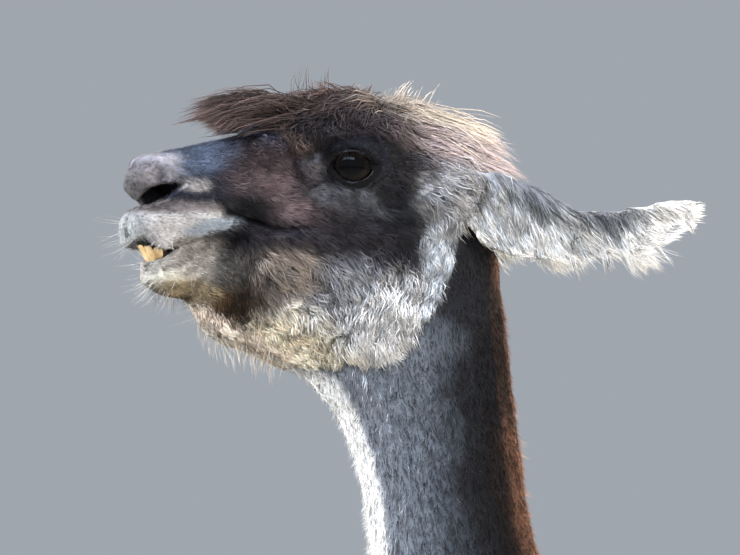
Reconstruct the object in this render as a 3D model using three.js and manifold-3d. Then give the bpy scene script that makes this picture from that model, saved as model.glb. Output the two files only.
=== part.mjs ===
// A life-size llama that stands square with its head raised and its ears laid back. Millimetres, +Z up.
// It faces -X and its left side is -Y. Each form is a smooth field, below zero inside the coat's outline,
// and each node is that field's surface, parted from its neighbours by thin cuts.
import * as THREE from "three";
import Module from "manifold-3d";

const wasm = await Module();
wasm.setup();

// ---- Driving dimensions ----
const CUT = 0.3; // gap at each parting cut
const POCKET = 0.4; // room around an eye, tooth or nail that sits in flesh
const SLOT = 0.5; // width of the shut part of the mouth
const MARGIN = 30; // how far a skin runs on past a cut before the cut is made
const RAY_STEP = 3; // how finely a ray looks for the edge of a form
const FAR = 3000; // half size of a block that stands for a half space

const ELBOW_Z = 662; // the legs part from the trunk here
const FOOT_CUT_Z = 92; // a foot parts from its shank here
const RUMP_X = 572; // the tail parts from the rump here
const ELBOW_CUT = { at: [0, 0, ELBOW_Z], normal: [0, 0, 1] };
const RUMP_CUT = { at: [RUMP_X, 0, 0], normal: [1, 0, 0] };
const NECK_CUT = { at: [-437, 0, 1000], normal: [-0.752, 0, 0.658] };
const HEAD_CUT = { at: [-566, 0, 1540], normal: [-0.475, 0, 0.88] };

const EYE = { at: [-627, 50, 1683], radius: 21.5, lid: 3, forward: 0.36, down: 0.06, slit: [18.6, 14.2] };
const TEETH = {
  centre: [-781, 0],
  spread: 1.25,
  narrow: 0.85,
  count: 6,
  facets: 3,
  root: { reach: 15, z: 1590 },
  tip: { reach: 23.5 },
  height: 1612.5,
  notch: 3,
};
const LIP_HANG = 11;
const FORELOCK = [[-668, 1724, 26], [-705, 1728, 23], [-738, 1731, 15], [-752, 1732, 9]];
const EAR = {
  middle: [
    [-552, 50, 1668],
    [-520, 62, 1659],
    [-490, 73, 1642],
    [-465, 82, 1630],
    [-444, 89, 1623],
    [-415, 96, 1626],
    [-381, 102, 1635],
    [-346, 107, 1643],
  ],
  halfWidths: [20, 26, 36, 34, 30, 24, 20, 11],
  lengths: 13,
  sides: 12,
  thick: 9,
  cup: 0.42,
};
const LEGS = {
  fore: { elbow: -325, knee: -342, fetlock: -346, toe: -386, out: 92, splay: 1, kneeZ: 385, step: 22 },
  hind: { elbow: 385, knee: 488, fetlock: 462, toe: 424, out: 88, splay: 1.14, kneeZ: 440, step: 30 },
};
const TOE = { apart: 18, radii: [42, 18.5, 27], height: 20 };
const NAIL = { length: 34, radius: 9.5, facets: 6, forward: 36, height: 19, tip: 0.38, clear: 2 };

// ---- Fields ----
// Each returns how far a point is outside a shape, less than zero inside.

// An egg with three radii, its nose turned up by tilt radians.
const ball = ([cx, cy, cz], [rx, ry, rz], tilt = 0) => {
  const [c, s] = [Math.cos(tilt), Math.sin(tilt)];
  return (x, y, z) => {
    const [dx, dz] = [x - cx, z - cz];
    const [u, v, w] = [(dx * c + dz * s) / rx, (y - cy) / ry, (dz * c - dx * s) / rz];
    const near = Math.hypot(u, v, w);
    const slope = Math.hypot(u / rx, v / ry, w / rz);
    return slope < 1e-9 ? -Math.min(rx, ry, rz) : (near * (near - 1)) / slope;
  };
};

// A tapering limb from a to b with a radius at each end. Wide scales its breadth across Y.
const limb = (a, b, ra, rb, wide = 1) => {
  const along = b.map((value, i) => value - a[i]);
  const square = along.reduce((sum, value) => sum + value * value, 0);
  return (x, y, z) => {
    const [px, py, pz] = [x - a[0], y - a[1], z - a[2]];
    const t = Math.min(1, Math.max(0, (px * along[0] + py * along[1] + pz * along[2]) / square));
    const off = Math.hypot(px - along[0] * t, (py - along[1] * t) / wide, pz - along[2] * t);
    return (off - ra - (rb - ra) * t) * Math.min(1, wide);
  };
};

// A chain of limbs through [x, z, radius] stations on the middle plane.
const chain = (stations, wide) =>
  stations.slice(1).map(([x, z, r], i) => {
    const [x0, z0, r0] = stations[i];
    return limb([x0, 0, z0], [x, 0, z], r0, r, wide);
  });

// The same shape on both sides of the middle plane.
const pair = (form) => (x, y, z) => form(x, Math.abs(y), z);

// Joins forms with a fillet of about this size.
const melt = (forms, fillet) => (x, y, z) => {
  let d = forms[0](x, y, z);
  for (let i = 1; i < forms.length; i++) {
    const e = forms[i](x, y, z);
    const h = Math.max(0, fillet - Math.abs(d - e)) / fillet;
    d = Math.min(d, e) - (h * h * fillet) / 4;
  }
  return d;
};

// Presses a soft hollow into a form.
const hollow = (form, tool, soft) => (x, y, z) => {
  const [d, e] = [form(x, y, z), -tool(x, y, z)];
  const h = Math.max(0, soft - Math.abs(d - e)) / soft;
  return Math.max(d, e) + (h * h * soft) / 4;
};

// ---- Forms ----

function trunkForm() {
  return melt(
    [
      ball([-185, 0, 893], [335, 172, 216]), // ribs
      ball([120, 0, 905], [340, 165, 186]), // belly and loin
      ball([385, 0, 930], [188, 146, 165]), // croup
      ball([-240, 0, 1005], [165, 78, 112]), // withers
      limb([-230, 0, 1003], [390, 0, 1000], 90, 84), // back
      ball([-425, 0, 880], [112, 112, 165], -0.25), // breast
      pair(ball([-330, 100, 850], [112, 76, 190], -0.18)), // shoulder
      pair(ball([400, 92, 830], [150, 80, 205], 0.22)), // haunch
      pair(limb([330, 105, 760], [375, 108, 680], 92, 78, 0.72)), // stifle
    ],
    60,
  );
}

function neckForm() {
  const stations = [
    [-378, 980, 152],
    [-450, 1120, 106],
    [-488, 1230, 86],
    [-520, 1345, 74],
    [-533, 1440, 75],
    [-549, 1520, 78],
    [-560, 1610, 66],
  ];
  return melt(chain(stations, 0.76), 8);
}

function skullForms() {
  return [
    ball([-598, 0, 1688], [82, 60, 52]), // braincase
    limb([-650, 0, 1664], [-768, 0, 1659], 55, 35, 0.86), // face
    limb([-675, 0, 1683], [-790, 0, 1670], 32, 19), // bridge of the nose
    ball([-785, 0, 1667], [30, 27, 20]), // nose
    ball([-777, -13, 1630], [41, 21, 21], -0.12), // upper lip's left lobe
    ball([-779, 13, 1626], [41, 21, 24], -0.12), // and its right, which hangs lower
    pair(ball([-742, 22, 1640], [38, 18, 20])), // lip's corner
    ball([-774, 0, 1589], [31, 25, 19], -0.12), // chin
    limb([-762, 0, 1600], [-655, 0, 1598], 23, 50, 0.8), // jaw
    pair(ball([-640, 36, 1612], [80, 34, 60])), // cheek
    pair(ball([-697, 27, 1650], [38, 22, 24], -0.25)), // cheek's front bulge
    pair(limb([-704, 25, 1692], [-602, 50, 1711], 13, 23)), // brow
    pair(ball(EYE.at, Array(3).fill(EYE.radius + EYE.lid))), // lids
    limb([-632, 0, 1580], [-570, 0, 1520], 72, 72, 0.8), // throat
    limb([-560, 0, 1672], [-551, 0, 1570], 62, 66, 0.86), // nape
    pair(limb([-572, 34, 1692], [-536, 56, 1668], 32, 27)), // ear's root
  ];
}

function woolForms() {
  return [
    ball([-612, 0, 1706], [90, 62, 49], 0.02), // crown
    ball([-548, 0, 1690], [62, 56, 42], -0.66), // crown's tail over the nape
    ball([-716, 0, 1558], [40, 30, 31], -0.1), // beard's front
    ball([-668, 0, 1546], [68, 44, 39], -0.38), // beard
    pair(ball([-598, 44, 1590], [62, 32, 74], 0.5)), // ruff
  ];
}

function headForm() {
  const whole = melt([...skullForms(), ...woolForms()], 14);
  const nostril = pair(limb([-798, 19, 1655], [-772, 31, 1664], 7, 4));
  const underNose = pair(limb([-812, 0, 1650], [-780, 34, 1648], 3, 3));
  return hollow(hollow(whole, nostril, 8), underNose, 8);
}

function foreLegForms(side, step) {
  const { elbow, knee, fetlock, toe, out, kneeZ } = LEGS.fore;
  const y = side * out;
  return [
    limb([elbow, y, 730], [knee, y, kneeZ + 25], 74, 37, 0.78), // forearm
    ball([knee - 3, y, kneeZ], [37, 34, 44]), // knee
    limb([knee - 2, y, kneeZ - 10], [fetlock + step, y, 130], 29, 26), // shank
    ...pasternForms(fetlock + step, toe + step, y),
  ];
}

function hindLegForms(side, step) {
  const { elbow, knee, fetlock, toe, out, splay, kneeZ } = LEGS.hind;
  const y = side * out;
  return [
    limb([elbow - 12, y * splay, 700], [knee - 8, y, kneeZ + 25], 88, 34, 0.68), // gaskin
    ball([knee, y, kneeZ], [38, 29, 46], -0.2), // hock
    limb([knee + 2, y, kneeZ + 10], [knee + 26, y, kneeZ + 34], 22, 17), // hock's point
    limb([knee, y, kneeZ - 12], [fetlock + step, y, 130], 30, 26), // shank
    ...pasternForms(fetlock + step, toe + step, y),
  ];
}

function pasternForms(fetlock, toe, y) {
  return [
    ball([fetlock - 1, y, 116], [33, 33, 36]), // fetlock
    limb([fetlock, y, 108], [toe + 14, y, 23], 29, 30), // pastern and heel
  ];
}

function forelockForm() {
  return melt(chain(FORELOCK, 1.3), 12);
}

function tailForm() {
  const stations = [
    [548, 1003, 46],
    [604, 992, 44],
    [640, 930, 50],
    [650, 850, 46],
    [646, 775, 22],
  ];
  return melt(chain(stations, 0.95), 40);
}

// ---- Meshes ----

// The skin of a form, as rings of rays cast from a line of centres inside it. The rings face the way the
// line runs from end to end, or turn from one given facing to another, and a fan of tilted rings rounds
// off an end.
function wrap(form, centres, { rings, sides, fans = [0, 0], reach = 260, facing }) {
  const track = new THREE.CatmullRomCurve3(centres.map((point) => new THREE.Vector3(...point)));
  const chord = track.getPoint(1).sub(track.getPoint(0)).normalize();
  const [from0, to1] = (facing ?? [chord, chord]).map((normal) => new THREE.Vector3(...normal));
  const cast = (t, lean, turn) => {
    const from = track.getPoint(t);
    const way = from0.clone().lerp(to1, t).normalize();
    const ray = way.clone().cross(new THREE.Vector3(0, 1, 0)).normalize().multiplyScalar(Math.cos(turn));
    ray.y += Math.sin(turn);
    ray.multiplyScalar(Math.cos(lean)).addScaledVector(way, Math.sin(lean));
    const inside = (far) => form(from.x + ray.x * far, from.y + ray.y * far, from.z + ray.z * far) < 0;
    let [low, high] = [0, RAY_STEP];
    while (high < reach && inside(high)) [low, high] = [high, high + RAY_STEP];
    for (let i = 0; i < 12; i++) {
      const half = (low + high) / 2;
      if (inside(half)) low = half;
      else high = half;
    }
    return from.addScaledVector(ray, low);
  };
  const ribs = Array.from({ length: rings }, (_, i) => [i / (rings - 1), 0]);
  for (let i = 1; i <= fans[0]; i++) ribs.unshift([0, (-Math.PI / 2) * (i / (fans[0] + 1))]);
  for (let i = 1; i <= fans[1]; i++) ribs.push([1, (Math.PI / 2) * (i / (fans[1] + 1))]);
  const points = ribs.flatMap(([t, lean]) =>
    Array.from({ length: sides }, (_, j) => cast(t, lean, (2 * Math.PI * j) / sides)),
  );
  const poles = [0, 1].map((t) =>
    fans[t] ? cast(t, (t - 0.5) * Math.PI, 0) : track.getPoint(t),
  );
  return loft(points, sides, poles);
}

// A closed skin over rings of points, each ring the same number, with a pole point at each end.
function loft(points, sides, poles) {
  const rings = points.length / sides;
  const [south, north] = [points.length, points.length + 1];
  const faces = [];
  for (let j = 0; j < sides; j++) {
    const next = (j + 1) % sides;
    for (let i = 0; i < rings - 1; i++) {
      const [a, b] = [i * sides + j, i * sides + next];
      faces.push(a, b, b + sides, a, b + sides, a + sides);
    }
    faces.push(south, next, j, north, (rings - 1) * sides + j, (rings - 1) * sides + next);
  }
  const geometry = new THREE.BufferGeometry().setFromPoints([...points, ...poles]).setIndex(faces);
  const made = solid(geometry);
  return made.volume() > 0 ? made : solid(geometry.setIndex(faces.reverse()));
}

// A three.js geometry as a solid, its shared points merged.
function solid(geometry, matrix = new THREE.Matrix4()) {
  const placed = geometry.clone().applyMatrix4(matrix);
  const from = placed.getAttribute("position");
  const index = placed.index ? Array.from(placed.index.array) : [...Array(from.count).keys()];
  const seen = new Map();
  const points = [];
  const merged = index.map((n) => {
    const point = [from.getX(n), from.getY(n), from.getZ(n)];
    const key = point.map((value) => Math.round(value * 1e3)).join();
    if (!seen.has(key)) {
      seen.set(key, seen.size);
      points.push(...point);
    }
    return seen.get(key);
  });
  const faces = [];
  for (let i = 0; i < merged.length; i += 3) {
    const [a, b, c] = merged.slice(i, i + 3);
    if (a !== b && b !== c && c !== a) faces.push(a, b, c);
  }
  return new wasm.Manifold(
    new wasm.Mesh({ numProp: 3, vertProperties: new Float32Array(points), triVerts: new Uint32Array(faces) }),
  );
}

// A solid as a three.js geometry.
function geometryOf(made) {
  const { vertProperties, triVerts } = made.getMesh();
  return new THREE.BufferGeometry()
    .setAttribute("position", new THREE.BufferAttribute(vertProperties, 3))
    .setIndex(new THREE.BufferAttribute(triVerts, 1));
}

// A block from low to high.
function block(low, high) {
  const size = high.map((value, i) => value - low[i]);
  const middle = low.map((value, i) => value + size[i] / 2);
  return solid(new THREE.BoxGeometry(...size), new THREE.Matrix4().makeTranslation(...middle));
}

// All that lies past a plane on the side of its normal, less half a cut.
function beyond({ at, normal }, away = 1) {
  const turn = new THREE.Quaternion().setFromUnitVectors(
    new THREE.Vector3(0, 0, 1),
    new THREE.Vector3(...normal).normalize().multiplyScalar(away),
  );
  const place = new THREE.Matrix4().makeTranslation(...at);
  place.multiply(new THREE.Matrix4().makeRotationFromQuaternion(turn));
  place.multiply(new THREE.Matrix4().makeTranslation(0, 0, FAR + CUT / 2));
  return solid(new THREE.BoxGeometry(2 * FAR, 2 * FAR, 2 * FAR), place);
}

// The largest of a solid's separate bodies.
function largest(made) {
  return made.decompose().reduce((best, body) => (body.volume() > best.volume() ? body : best));
}

// ---- Nodes ----
const COAT = { umber: 0x3a2c28, slate: 0x4a4b52, white: 0xcfcac3, grey: 0x8b8a8c, cream: 0xb9a58a };
const group = new THREE.Group();
group.name = "llama";

function coat(colour) {
  return new THREE.MeshStandardMaterial({ color: colour, roughness: 0.95, metalness: 0 });
}

function add(name, made, material) {
  const mesh = new THREE.Mesh(geometryOf(made), material);
  mesh.name = name;
  group.add(mesh);
}

// Keeps a form on one side of a cut, with a margin past it, so that the cut itself is made on the solid.
function stopAt(form, { at, normal }, away = 1) {
  const size = Math.hypot(...normal) * away;
  const [a, b, c] = normal.map((value) => value / size);
  return (x, y, z) =>
    Math.max(form(x, y, z), a * (x - at[0]) + b * (y - at[1]) + c * (z - at[2]) - MARGIN);
}

function addTrunk(body) {
  const held = stopAt(stopAt(stopAt(body, NECK_CUT), RUMP_CUT), ELBOW_CUT, -1);
  const centres = [[-430, 0, 900], [-300, 0, 900], [-60, 0, 900], [200, 0, 905], [410, 0, 915]];
  const skin = wrap(held, centres, { rings: 17, sides: 22, fans: [4, 4], reach: 400 });
  const kept = skin
    .intersect(beyond(NECK_CUT, -1))
    .intersect(beyond(RUMP_CUT, -1))
    .intersect(beyond(ELBOW_CUT));
  add("trunk", kept, coat(COAT.umber));
}

function addNeck(body) {
  const centres = [[-434, 0, 998], [-462, 0, 1090], [-505, 0, 1270], [-534, 0, 1430], [-559, 0, 1552]];
  const facing = [NECK_CUT.normal, HEAD_CUT.normal];
  const skin = wrap(body, centres, { rings: 13, sides: 18, facing });
  add("neck", skin.intersect(beyond(NECK_CUT)).intersect(beyond(HEAD_CUT, -1)), coat(COAT.slate));
}

function addTail(body) {
  const held = stopAt(body, RUMP_CUT, -1);
  const centres = [[600, 0, 990], [636, 0, 920], [650, 0, 850], [647, 0, 785]];
  const skin = wrap(held, centres, { rings: 7, sides: 10, fans: [3, 2], reach: 120 });
  add("tail", skin.intersect(beyond(RUMP_CUT)), coat(COAT.cream));
}

// Where an eye looks: its pole and the almond between its lids turn forward and down.
function eyeFrame(side) {
  const { at, forward, down } = EYE;
  const look = new THREE.Vector3(-forward, side, -down).normalize();
  const across = new THREE.Vector3(0, 0, 1).cross(look).normalize();
  const frame = new THREE.Matrix4().makeBasis(across, look.clone().cross(across), look);
  return frame.setPosition(at[0], side * at[1], at[2]);
}

// Adds both eyes and returns the sockets that the head needs for them.
function addEyes() {
  return [-1, 1].map((side) => {
    const frame = eyeFrame(side);
    const globe = (radius) => solid(new THREE.SphereGeometry(radius, 15, 9), frame);
    const slit = new THREE.CylinderGeometry(1.05, 0.8, EYE.radius, 14);
    slit.rotateX(Math.PI / 2).scale(...EYE.slit, 1).translate(0, 0, EYE.radius * 0.95);
    const glass = new THREE.MeshStandardMaterial({ color: 0x1a100c, roughness: 0.08, metalness: 0 });
    add(side < 0 ? "eye_left" : "eye_right", globe(EYE.radius), glass);
    return globe(EYE.radius + POCKET).add(solid(slit, frame));
  });
}

// The arch of lower incisors, six blades side by side that lean out over the lip.
function teeth(grow) {
  const { centre, spread, count, facets, root, tip, height, notch } = TEETH;
  const points = [];
  const steps = count * facets;
  for (let i = 0; i <= steps; i++) {
    const end = i === 0 ? -grow : i === steps ? grow : 0;
    const turn = spread * ((2 * i) / steps - 1) + end / root.reach;
    const across = ((i % facets) / facets) * 2 - 1;
    const dome = Math.sqrt(1 - across * across);
    const [thick, top] = [2.2 + 1.3 * dome, height + notch * dome];
    const blade = [
      [root.reach, root.z],
      [(root.reach + tip.reach) / 2 + 0.8, (root.z + top) / 2],
      [tip.reach, top],
      [tip.reach - 1, top - 0.6],
      [(root.reach + tip.reach) / 2 - thick, (root.z + top) / 2 - 1],
      [root.reach - thick - 1, root.z],
    ];
    for (const [k, [reach, z]] of blade.entries()) {
      const [out, up] = [k < 3 ? grow : -grow, k === 0 || k === 5 ? -grow : grow];
      const r = reach + out;
      points.push(
        new THREE.Vector3(centre[0] - r * Math.cos(turn), r * TEETH.narrow * Math.sin(turn), z + up),
      );
    }
  }
  const ends = [points.slice(0, 6), points.slice(-6)].map((ring) =>
    ring.reduce((sum, point) => sum.add(point), new THREE.Vector3()).divideScalar(6),
  );
  return loft(points, 6, ends);
}

// The mouth on one side: open at the teeth, shut from there to its corner, then a cut down behind the
// chin. The right half of the upper lip hangs lower.
function mouth(side) {
  const hang = side < 0 ? 0 : LIP_HANG;
  const upper = [[-860, 1618 - hang], [-812, 1618 - hang], [-800, 1617 - hang * 0.6]];
  const line = [[-782, 1613.5], [-757, 1620.5], [-729, 1629]];
  const behind = [[-700, 1560], [-664, 1440]];
  const lower = [[-729.6, 1628.2], [-757, 1619.6], [-772, 1609], [-802, 1600], [-860, 1598]];
  const back = behind.map(([x, z]) => [x - SLOT, z]).reverse();
  const outline = [...upper, ...line, ...behind, ...back, ...lower];
  const shape = new THREE.Shape(outline.map(([x, z]) => new THREE.Vector2(x, z)));
  const slot = new THREE.ExtrudeGeometry(shape, { depth: 120, bevelEnabled: false });
  return solid(slot, new THREE.Matrix4().makeRotationX(Math.PI / 2).setPosition(0, side < 0 ? 0.5 : 120, 0));
}

// The head's skin, grown by a little where asked.
function wrapHead(body, grow = 0) {
  const held = stopAt((x, y, z) => body(x, y, z) - grow, HEAD_CUT, -1);
  const centres = [[-604, 0, 1642], [-660, 0, 1640], [-720, 0, 1637], [-775, 0, 1634]];
  return wrap(held, centres, { rings: 15, sides: 30, fans: [7, 8] }).intersect(beyond(HEAD_CUT));
}

function addHead(body, sockets) {
  const face = sockets
    .reduce((made, socket) => made.subtract(socket), wrapHead(body))
    .subtract(teeth(POCKET))
    .subtract(mouth(-1))
    .subtract(mouth(1));
  const [head, jaw] = face.decompose().sort((a, b) => b.volume() - a.volume());
  add("head", head, coat(COAT.umber));
  add("lower_jaw", jaw, coat(COAT.white));
  const enamel = new THREE.MeshStandardMaterial({ color: 0xd9b46a, roughness: 0.35, metalness: 0 });
  add("lower_incisors", teeth(0), enamel);
}

// One ear as a leaf cupped towards the outside, its edges filled out with their fringe.
function ear(side) {
  const { middle, halfWidths, lengths, sides, thick, cup } = EAR;
  const path = new THREE.CatmullRomCurve3(
    middle.map(([x, y, z]) => new THREE.Vector3(x, side * y, z)),
  );
  const widths = new THREE.CatmullRomCurve3(halfWidths.map((half) => new THREE.Vector3(half, 0, 0)));
  const points = [];
  for (let i = 0; i <= lengths; i++) {
    const t = i / lengths;
    const along = path.getTangent(t);
    const out = new THREE.Vector3(-0.35, side, -0.25 - 0.3 * t).projectOnPlane(along).normalize();
    const up = new THREE.Vector3().crossVectors(along, out).normalize();
    if (up.z < 0) up.negate();
    const half = widths.getPoint(t).x;
    for (let j = 0; j < sides; j++) {
      const turn = (2 * Math.PI * j) / sides;
      const s = Math.cos(turn);
      const bulge = (Math.sin(turn) * thick * (1 - 0.45 * s * s) * (1 - 0.4 * t)) / 2;
      const point = path.getPoint(t).addScaledVector(up, s * half);
      points.push(point.addScaledVector(out, bulge + half * cup * s * s));
    }
  }
  const tip = path.getPoint(1).addScaledVector(path.getTangent(1), 5);
  return loft(points, sides, [path.getPoint(0), tip]);
}

function addEars(body) {
  const shell = wrapHead(body, CUT);
  for (const side of [-1, 1])
    add(side < 0 ? "ear_left" : "ear_right", largest(ear(side).subtract(shell)), coat(COAT.grey));
  const centres = FORELOCK.map(([x, z]) => [x, 0, z]);
  const lock = wrap(forelockForm(), centres, { rings: 5, sides: 10, fans: [0, 2] });
  add("forelock", largest(lock.subtract(shell)), coat(COAT.umber));
}

// A toenail: a pointed cone, tipped down and kept clear of the floor.
function nail(toe, y, grow) {
  const shape = new THREE.ConeGeometry(NAIL.radius + grow, NAIL.length + 2 * grow, NAIL.facets);
  shape.rotateZ(Math.PI / 2);
  const place = new THREE.Matrix4().makeTranslation(toe - NAIL.forward, y, NAIL.height);
  place.multiply(new THREE.Matrix4().makeRotationY(-NAIL.tip));
  return solid(shape, place).intersect(block([-FAR, -FAR, NAIL.clear - grow], [FAR, FAR, FAR]));
}

function addLeg({ name, side, size, step }, body) {
  const y = side * size.out;
  const toe = size.toe + step;
  const held = stopAt(body, ELBOW_CUT);
  const centres = [
    [size.elbow, y * size.splay, ELBOW_Z + 8],
    [(size.elbow + size.knee) / 2, (y * (1 + size.splay)) / 2, (ELBOW_Z + size.kneeZ) / 2],
    [size.knee, y, size.kneeZ],
    [(size.knee + size.fetlock + step) / 2, y, (size.kneeZ + 116) / 2],
    [size.fetlock + step, y, 120],
    [toe + 14, y, 28],
  ];
  const limbSkin = wrap(held, centres, { rings: 14, sides: 10, fans: [0, 2], reach: 170 });
  const own = side < 0 ? [[-FAR, -FAR], [FAR, -CUT / 2]] : [[-FAR, CUT / 2], [FAR, FAR]];
  const cut = (made, low, high) =>
    made.intersect(block([...own[0], low + CUT / 2], [...own[1], high - CUT / 2]));
  add(`${name}_upper`, cut(limbSkin, size.kneeZ, ELBOW_Z), coat(COAT.umber));
  add(`${name}_shank`, cut(limbSkin, FOOT_CUT_Z, size.kneeZ), coat(COAT.slate));
  const toes = [-1, 1].map((way) => {
    const shape = new THREE.SphereGeometry(1, 9, 6).rotateX(Math.PI / 2).scale(...TOE.radii);
    return solid(shape, new THREE.Matrix4().makeTranslation(toe, y + way * TOE.apart, TOE.height));
  });
  const nails = ["inner", "outer"].map((which, i) => [which, y + side * (2 * i - 1) * TOE.apart]);
  const foot = nails.reduce(
    (made, [, across]) => made.subtract(nail(toe, across, POCKET)),
    cut(limbSkin.add(toes[0]).add(toes[1]), -CUT / 2, FOOT_CUT_Z),
  );
  add(`${name}_foot`, largest(foot), coat(COAT.umber));
  for (const [which, across] of nails) {
    const horn = new THREE.MeshStandardMaterial({ color: 0x2b2522, roughness: 0.45, metalness: 0 });
    add(`${name}_nail_${which}`, nail(toe, across, 0), horn);
  }
}

// ---- The llama ----
const legs = [
  { name: "foreleg_left", side: -1, size: LEGS.fore, forms: foreLegForms, way: -1 },
  { name: "foreleg_right", side: 1, size: LEGS.fore, forms: foreLegForms, way: 1 },
  { name: "hindleg_left", side: -1, size: LEGS.hind, forms: hindLegForms, way: 1 },
  { name: "hindleg_right", side: 1, size: LEGS.hind, forms: hindLegForms, way: -1 },
].map((leg) => ({ ...leg, step: leg.way * leg.size.step }));

const legForms = legs.map(({ side, step, forms }) => melt(forms(side, step), 22));
const trunk = trunkForm();
const neck = neckForm();
const head = melt([headForm(), neck], 26);

addTrunk(melt([melt([trunk, neck], 80), tailForm(), ...legForms], 46));
addNeck(melt([melt([trunk, neck], 80), headForm()], 26));
addTail(melt([trunk, tailForm()], 30));
addHead(head, addEyes());
addEars(head);
legs.forEach((leg, i) => addLeg(leg, melt([trunk, legForms[i]], 46)));

// The origin is on the floor under the middle of the outline.
const outline = new THREE.Box3().setFromObject(group);
const middle = outline.getCenter(new THREE.Vector3());
group.position.set(-middle.x, -middle.y, -outline.min.z);

export default group;
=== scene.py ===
"""A llama at life size, standing still, with its head up and its ears laid back.

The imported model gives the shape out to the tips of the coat. One skin lies inside it by the depth of
the coat, and locks of wool and hair stand on the skin as solid mesh. Lengths are in metres, unless a
name ends in _mm. A place on the head is given in millimetres ahead of the eyes and above them.
"""

import itertools
import logging
import math
from dataclasses import dataclass, replace
from enum import Enum

import bmesh
import bpy
import numpy as np
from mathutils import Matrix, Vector
from mathutils.bvhtree import BVHTree


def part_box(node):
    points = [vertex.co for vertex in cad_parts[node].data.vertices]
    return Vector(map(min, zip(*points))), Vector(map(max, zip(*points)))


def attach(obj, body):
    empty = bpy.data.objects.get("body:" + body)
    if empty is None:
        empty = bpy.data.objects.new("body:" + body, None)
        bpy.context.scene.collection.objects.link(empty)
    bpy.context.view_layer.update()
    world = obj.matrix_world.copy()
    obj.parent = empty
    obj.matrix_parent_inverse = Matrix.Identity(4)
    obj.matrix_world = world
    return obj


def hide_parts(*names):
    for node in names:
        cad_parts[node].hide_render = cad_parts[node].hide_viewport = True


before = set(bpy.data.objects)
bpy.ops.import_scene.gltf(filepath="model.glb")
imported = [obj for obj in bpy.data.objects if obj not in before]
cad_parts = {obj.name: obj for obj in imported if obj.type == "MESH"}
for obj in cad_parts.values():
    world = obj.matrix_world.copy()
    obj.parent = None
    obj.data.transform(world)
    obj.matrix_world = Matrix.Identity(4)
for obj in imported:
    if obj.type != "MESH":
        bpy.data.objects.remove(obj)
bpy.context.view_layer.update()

log = logging.getLogger("llama")
MM = 0.001
NOT_FLESH = ("eye_", "lower_incisors", "forelock")
FLESH = [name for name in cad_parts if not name.startswith(NOT_FLESH) and "_nail_" not in name]
COLOUR = "coat_colour"
BAKE_MAP = "OFBake"
# Large numbers that scatter and stir a lattice's places, so that neighbours have nothing in common.
SCATTER = (73856093, 19349663, 83492791)
STIR = (2654435761, 1274126177)
POSITIVE, LOW_HALF = 0x7FFFFFFF, 0xFFFF
# How far a smoothed corner goes in, and then a little further back out.
IN_AND_OUT = (0.55, -0.58)


class Side(Enum):
    """The animal's own left and right, by the sign of y."""

    LEFT = -1
    RIGHT = 1


# ---- Small tools ----
def linear(code: str) -> np.ndarray:
    """Turns an sRGB hex colour into linear RGB.

    Args:
        code: The colour as six hex digits.

    Returns:
        Three numbers from 0 to 1.
    """
    parts = np.array([int(code[i : i + 2], 16) / 255 for i in (0, 2, 4)])
    return np.where(parts <= 0.04045, parts / 12.92, ((parts + 0.055) / 1.055) ** 2.4)


def linears(codes: str) -> list[np.ndarray]:
    """Turns sRGB hex colours, parted by spaces, into linear RGB."""
    return [linear(code) for code in codes.split()]


def rgba(code: str) -> tuple[float, ...]:
    """Gives an sRGB hex colour as linear RGB with full alpha."""
    return (*linear(code), 1.0)


def smooth(value: np.ndarray, low: float, high: float) -> np.ndarray:
    """Rises from 0 to 1, without a corner, as a value goes from low to high."""
    part = np.clip((value - low) / (high - low), 0, 1)
    return part * part * (3 - 2 * part)


def band(value: np.ndarray, start: float, full: float, fade: float, end: float) -> np.ndarray:
    """Rises from 0 to 1 between two values, and falls back between two more."""
    return smooth(value, start, full) * (1 - smooth(value, fade, end))


def mix(one: np.ndarray, two: np.ndarray, share: np.ndarray | float) -> np.ndarray:
    """Goes from one value to another by a share from 0 to 1."""
    return one * (1 - share) + two * share


def unit(rows: np.ndarray) -> np.ndarray:
    """Makes each row of an array one long."""
    return rows / np.maximum(np.linalg.norm(rows, axis=-1, keepdims=True), 1e-12)


def along(rows: np.ndarray, others: np.ndarray) -> np.ndarray:
    """Gives the dot product of each row with its like, as a column."""
    return np.sum(rows * others, axis=-1, keepdims=True)


def noise(points: np.ndarray, cell: float, seed: int) -> np.ndarray:
    """Smooth random numbers that are fixed in space.

    Args:
        points: Places, one a row.
        cell: The distance over which the number changes.
        seed: Picks one field of many.

    Returns:
        A number from -1 to 1 for each place.
    """
    scaled = points / cell
    base = np.floor(scaled).astype(np.int64)
    part = scaled - base
    part = part * part * (3 - 2 * part)
    total = np.zeros(len(points))
    for corner in itertools.product((0, 1), repeat=3):
        lattice = base + corner
        mixed = lattice[:, 0] * SCATTER[0] ^ lattice[:, 1] * SCATTER[1] ^ lattice[:, 2] * SCATTER[2]
        mixed = (mixed ^ seed * STIR[0]) & POSITIVE
        mixed = ((mixed ^ mixed >> 13) * STIR[1]) & POSITIVE
        value = ((mixed ^ mixed >> 16) & LOW_HALF) / LOW_HALF
        total += value * np.prod(np.where(corner, part, 1 - part), axis=1)
    return 2 * total - 1


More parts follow.
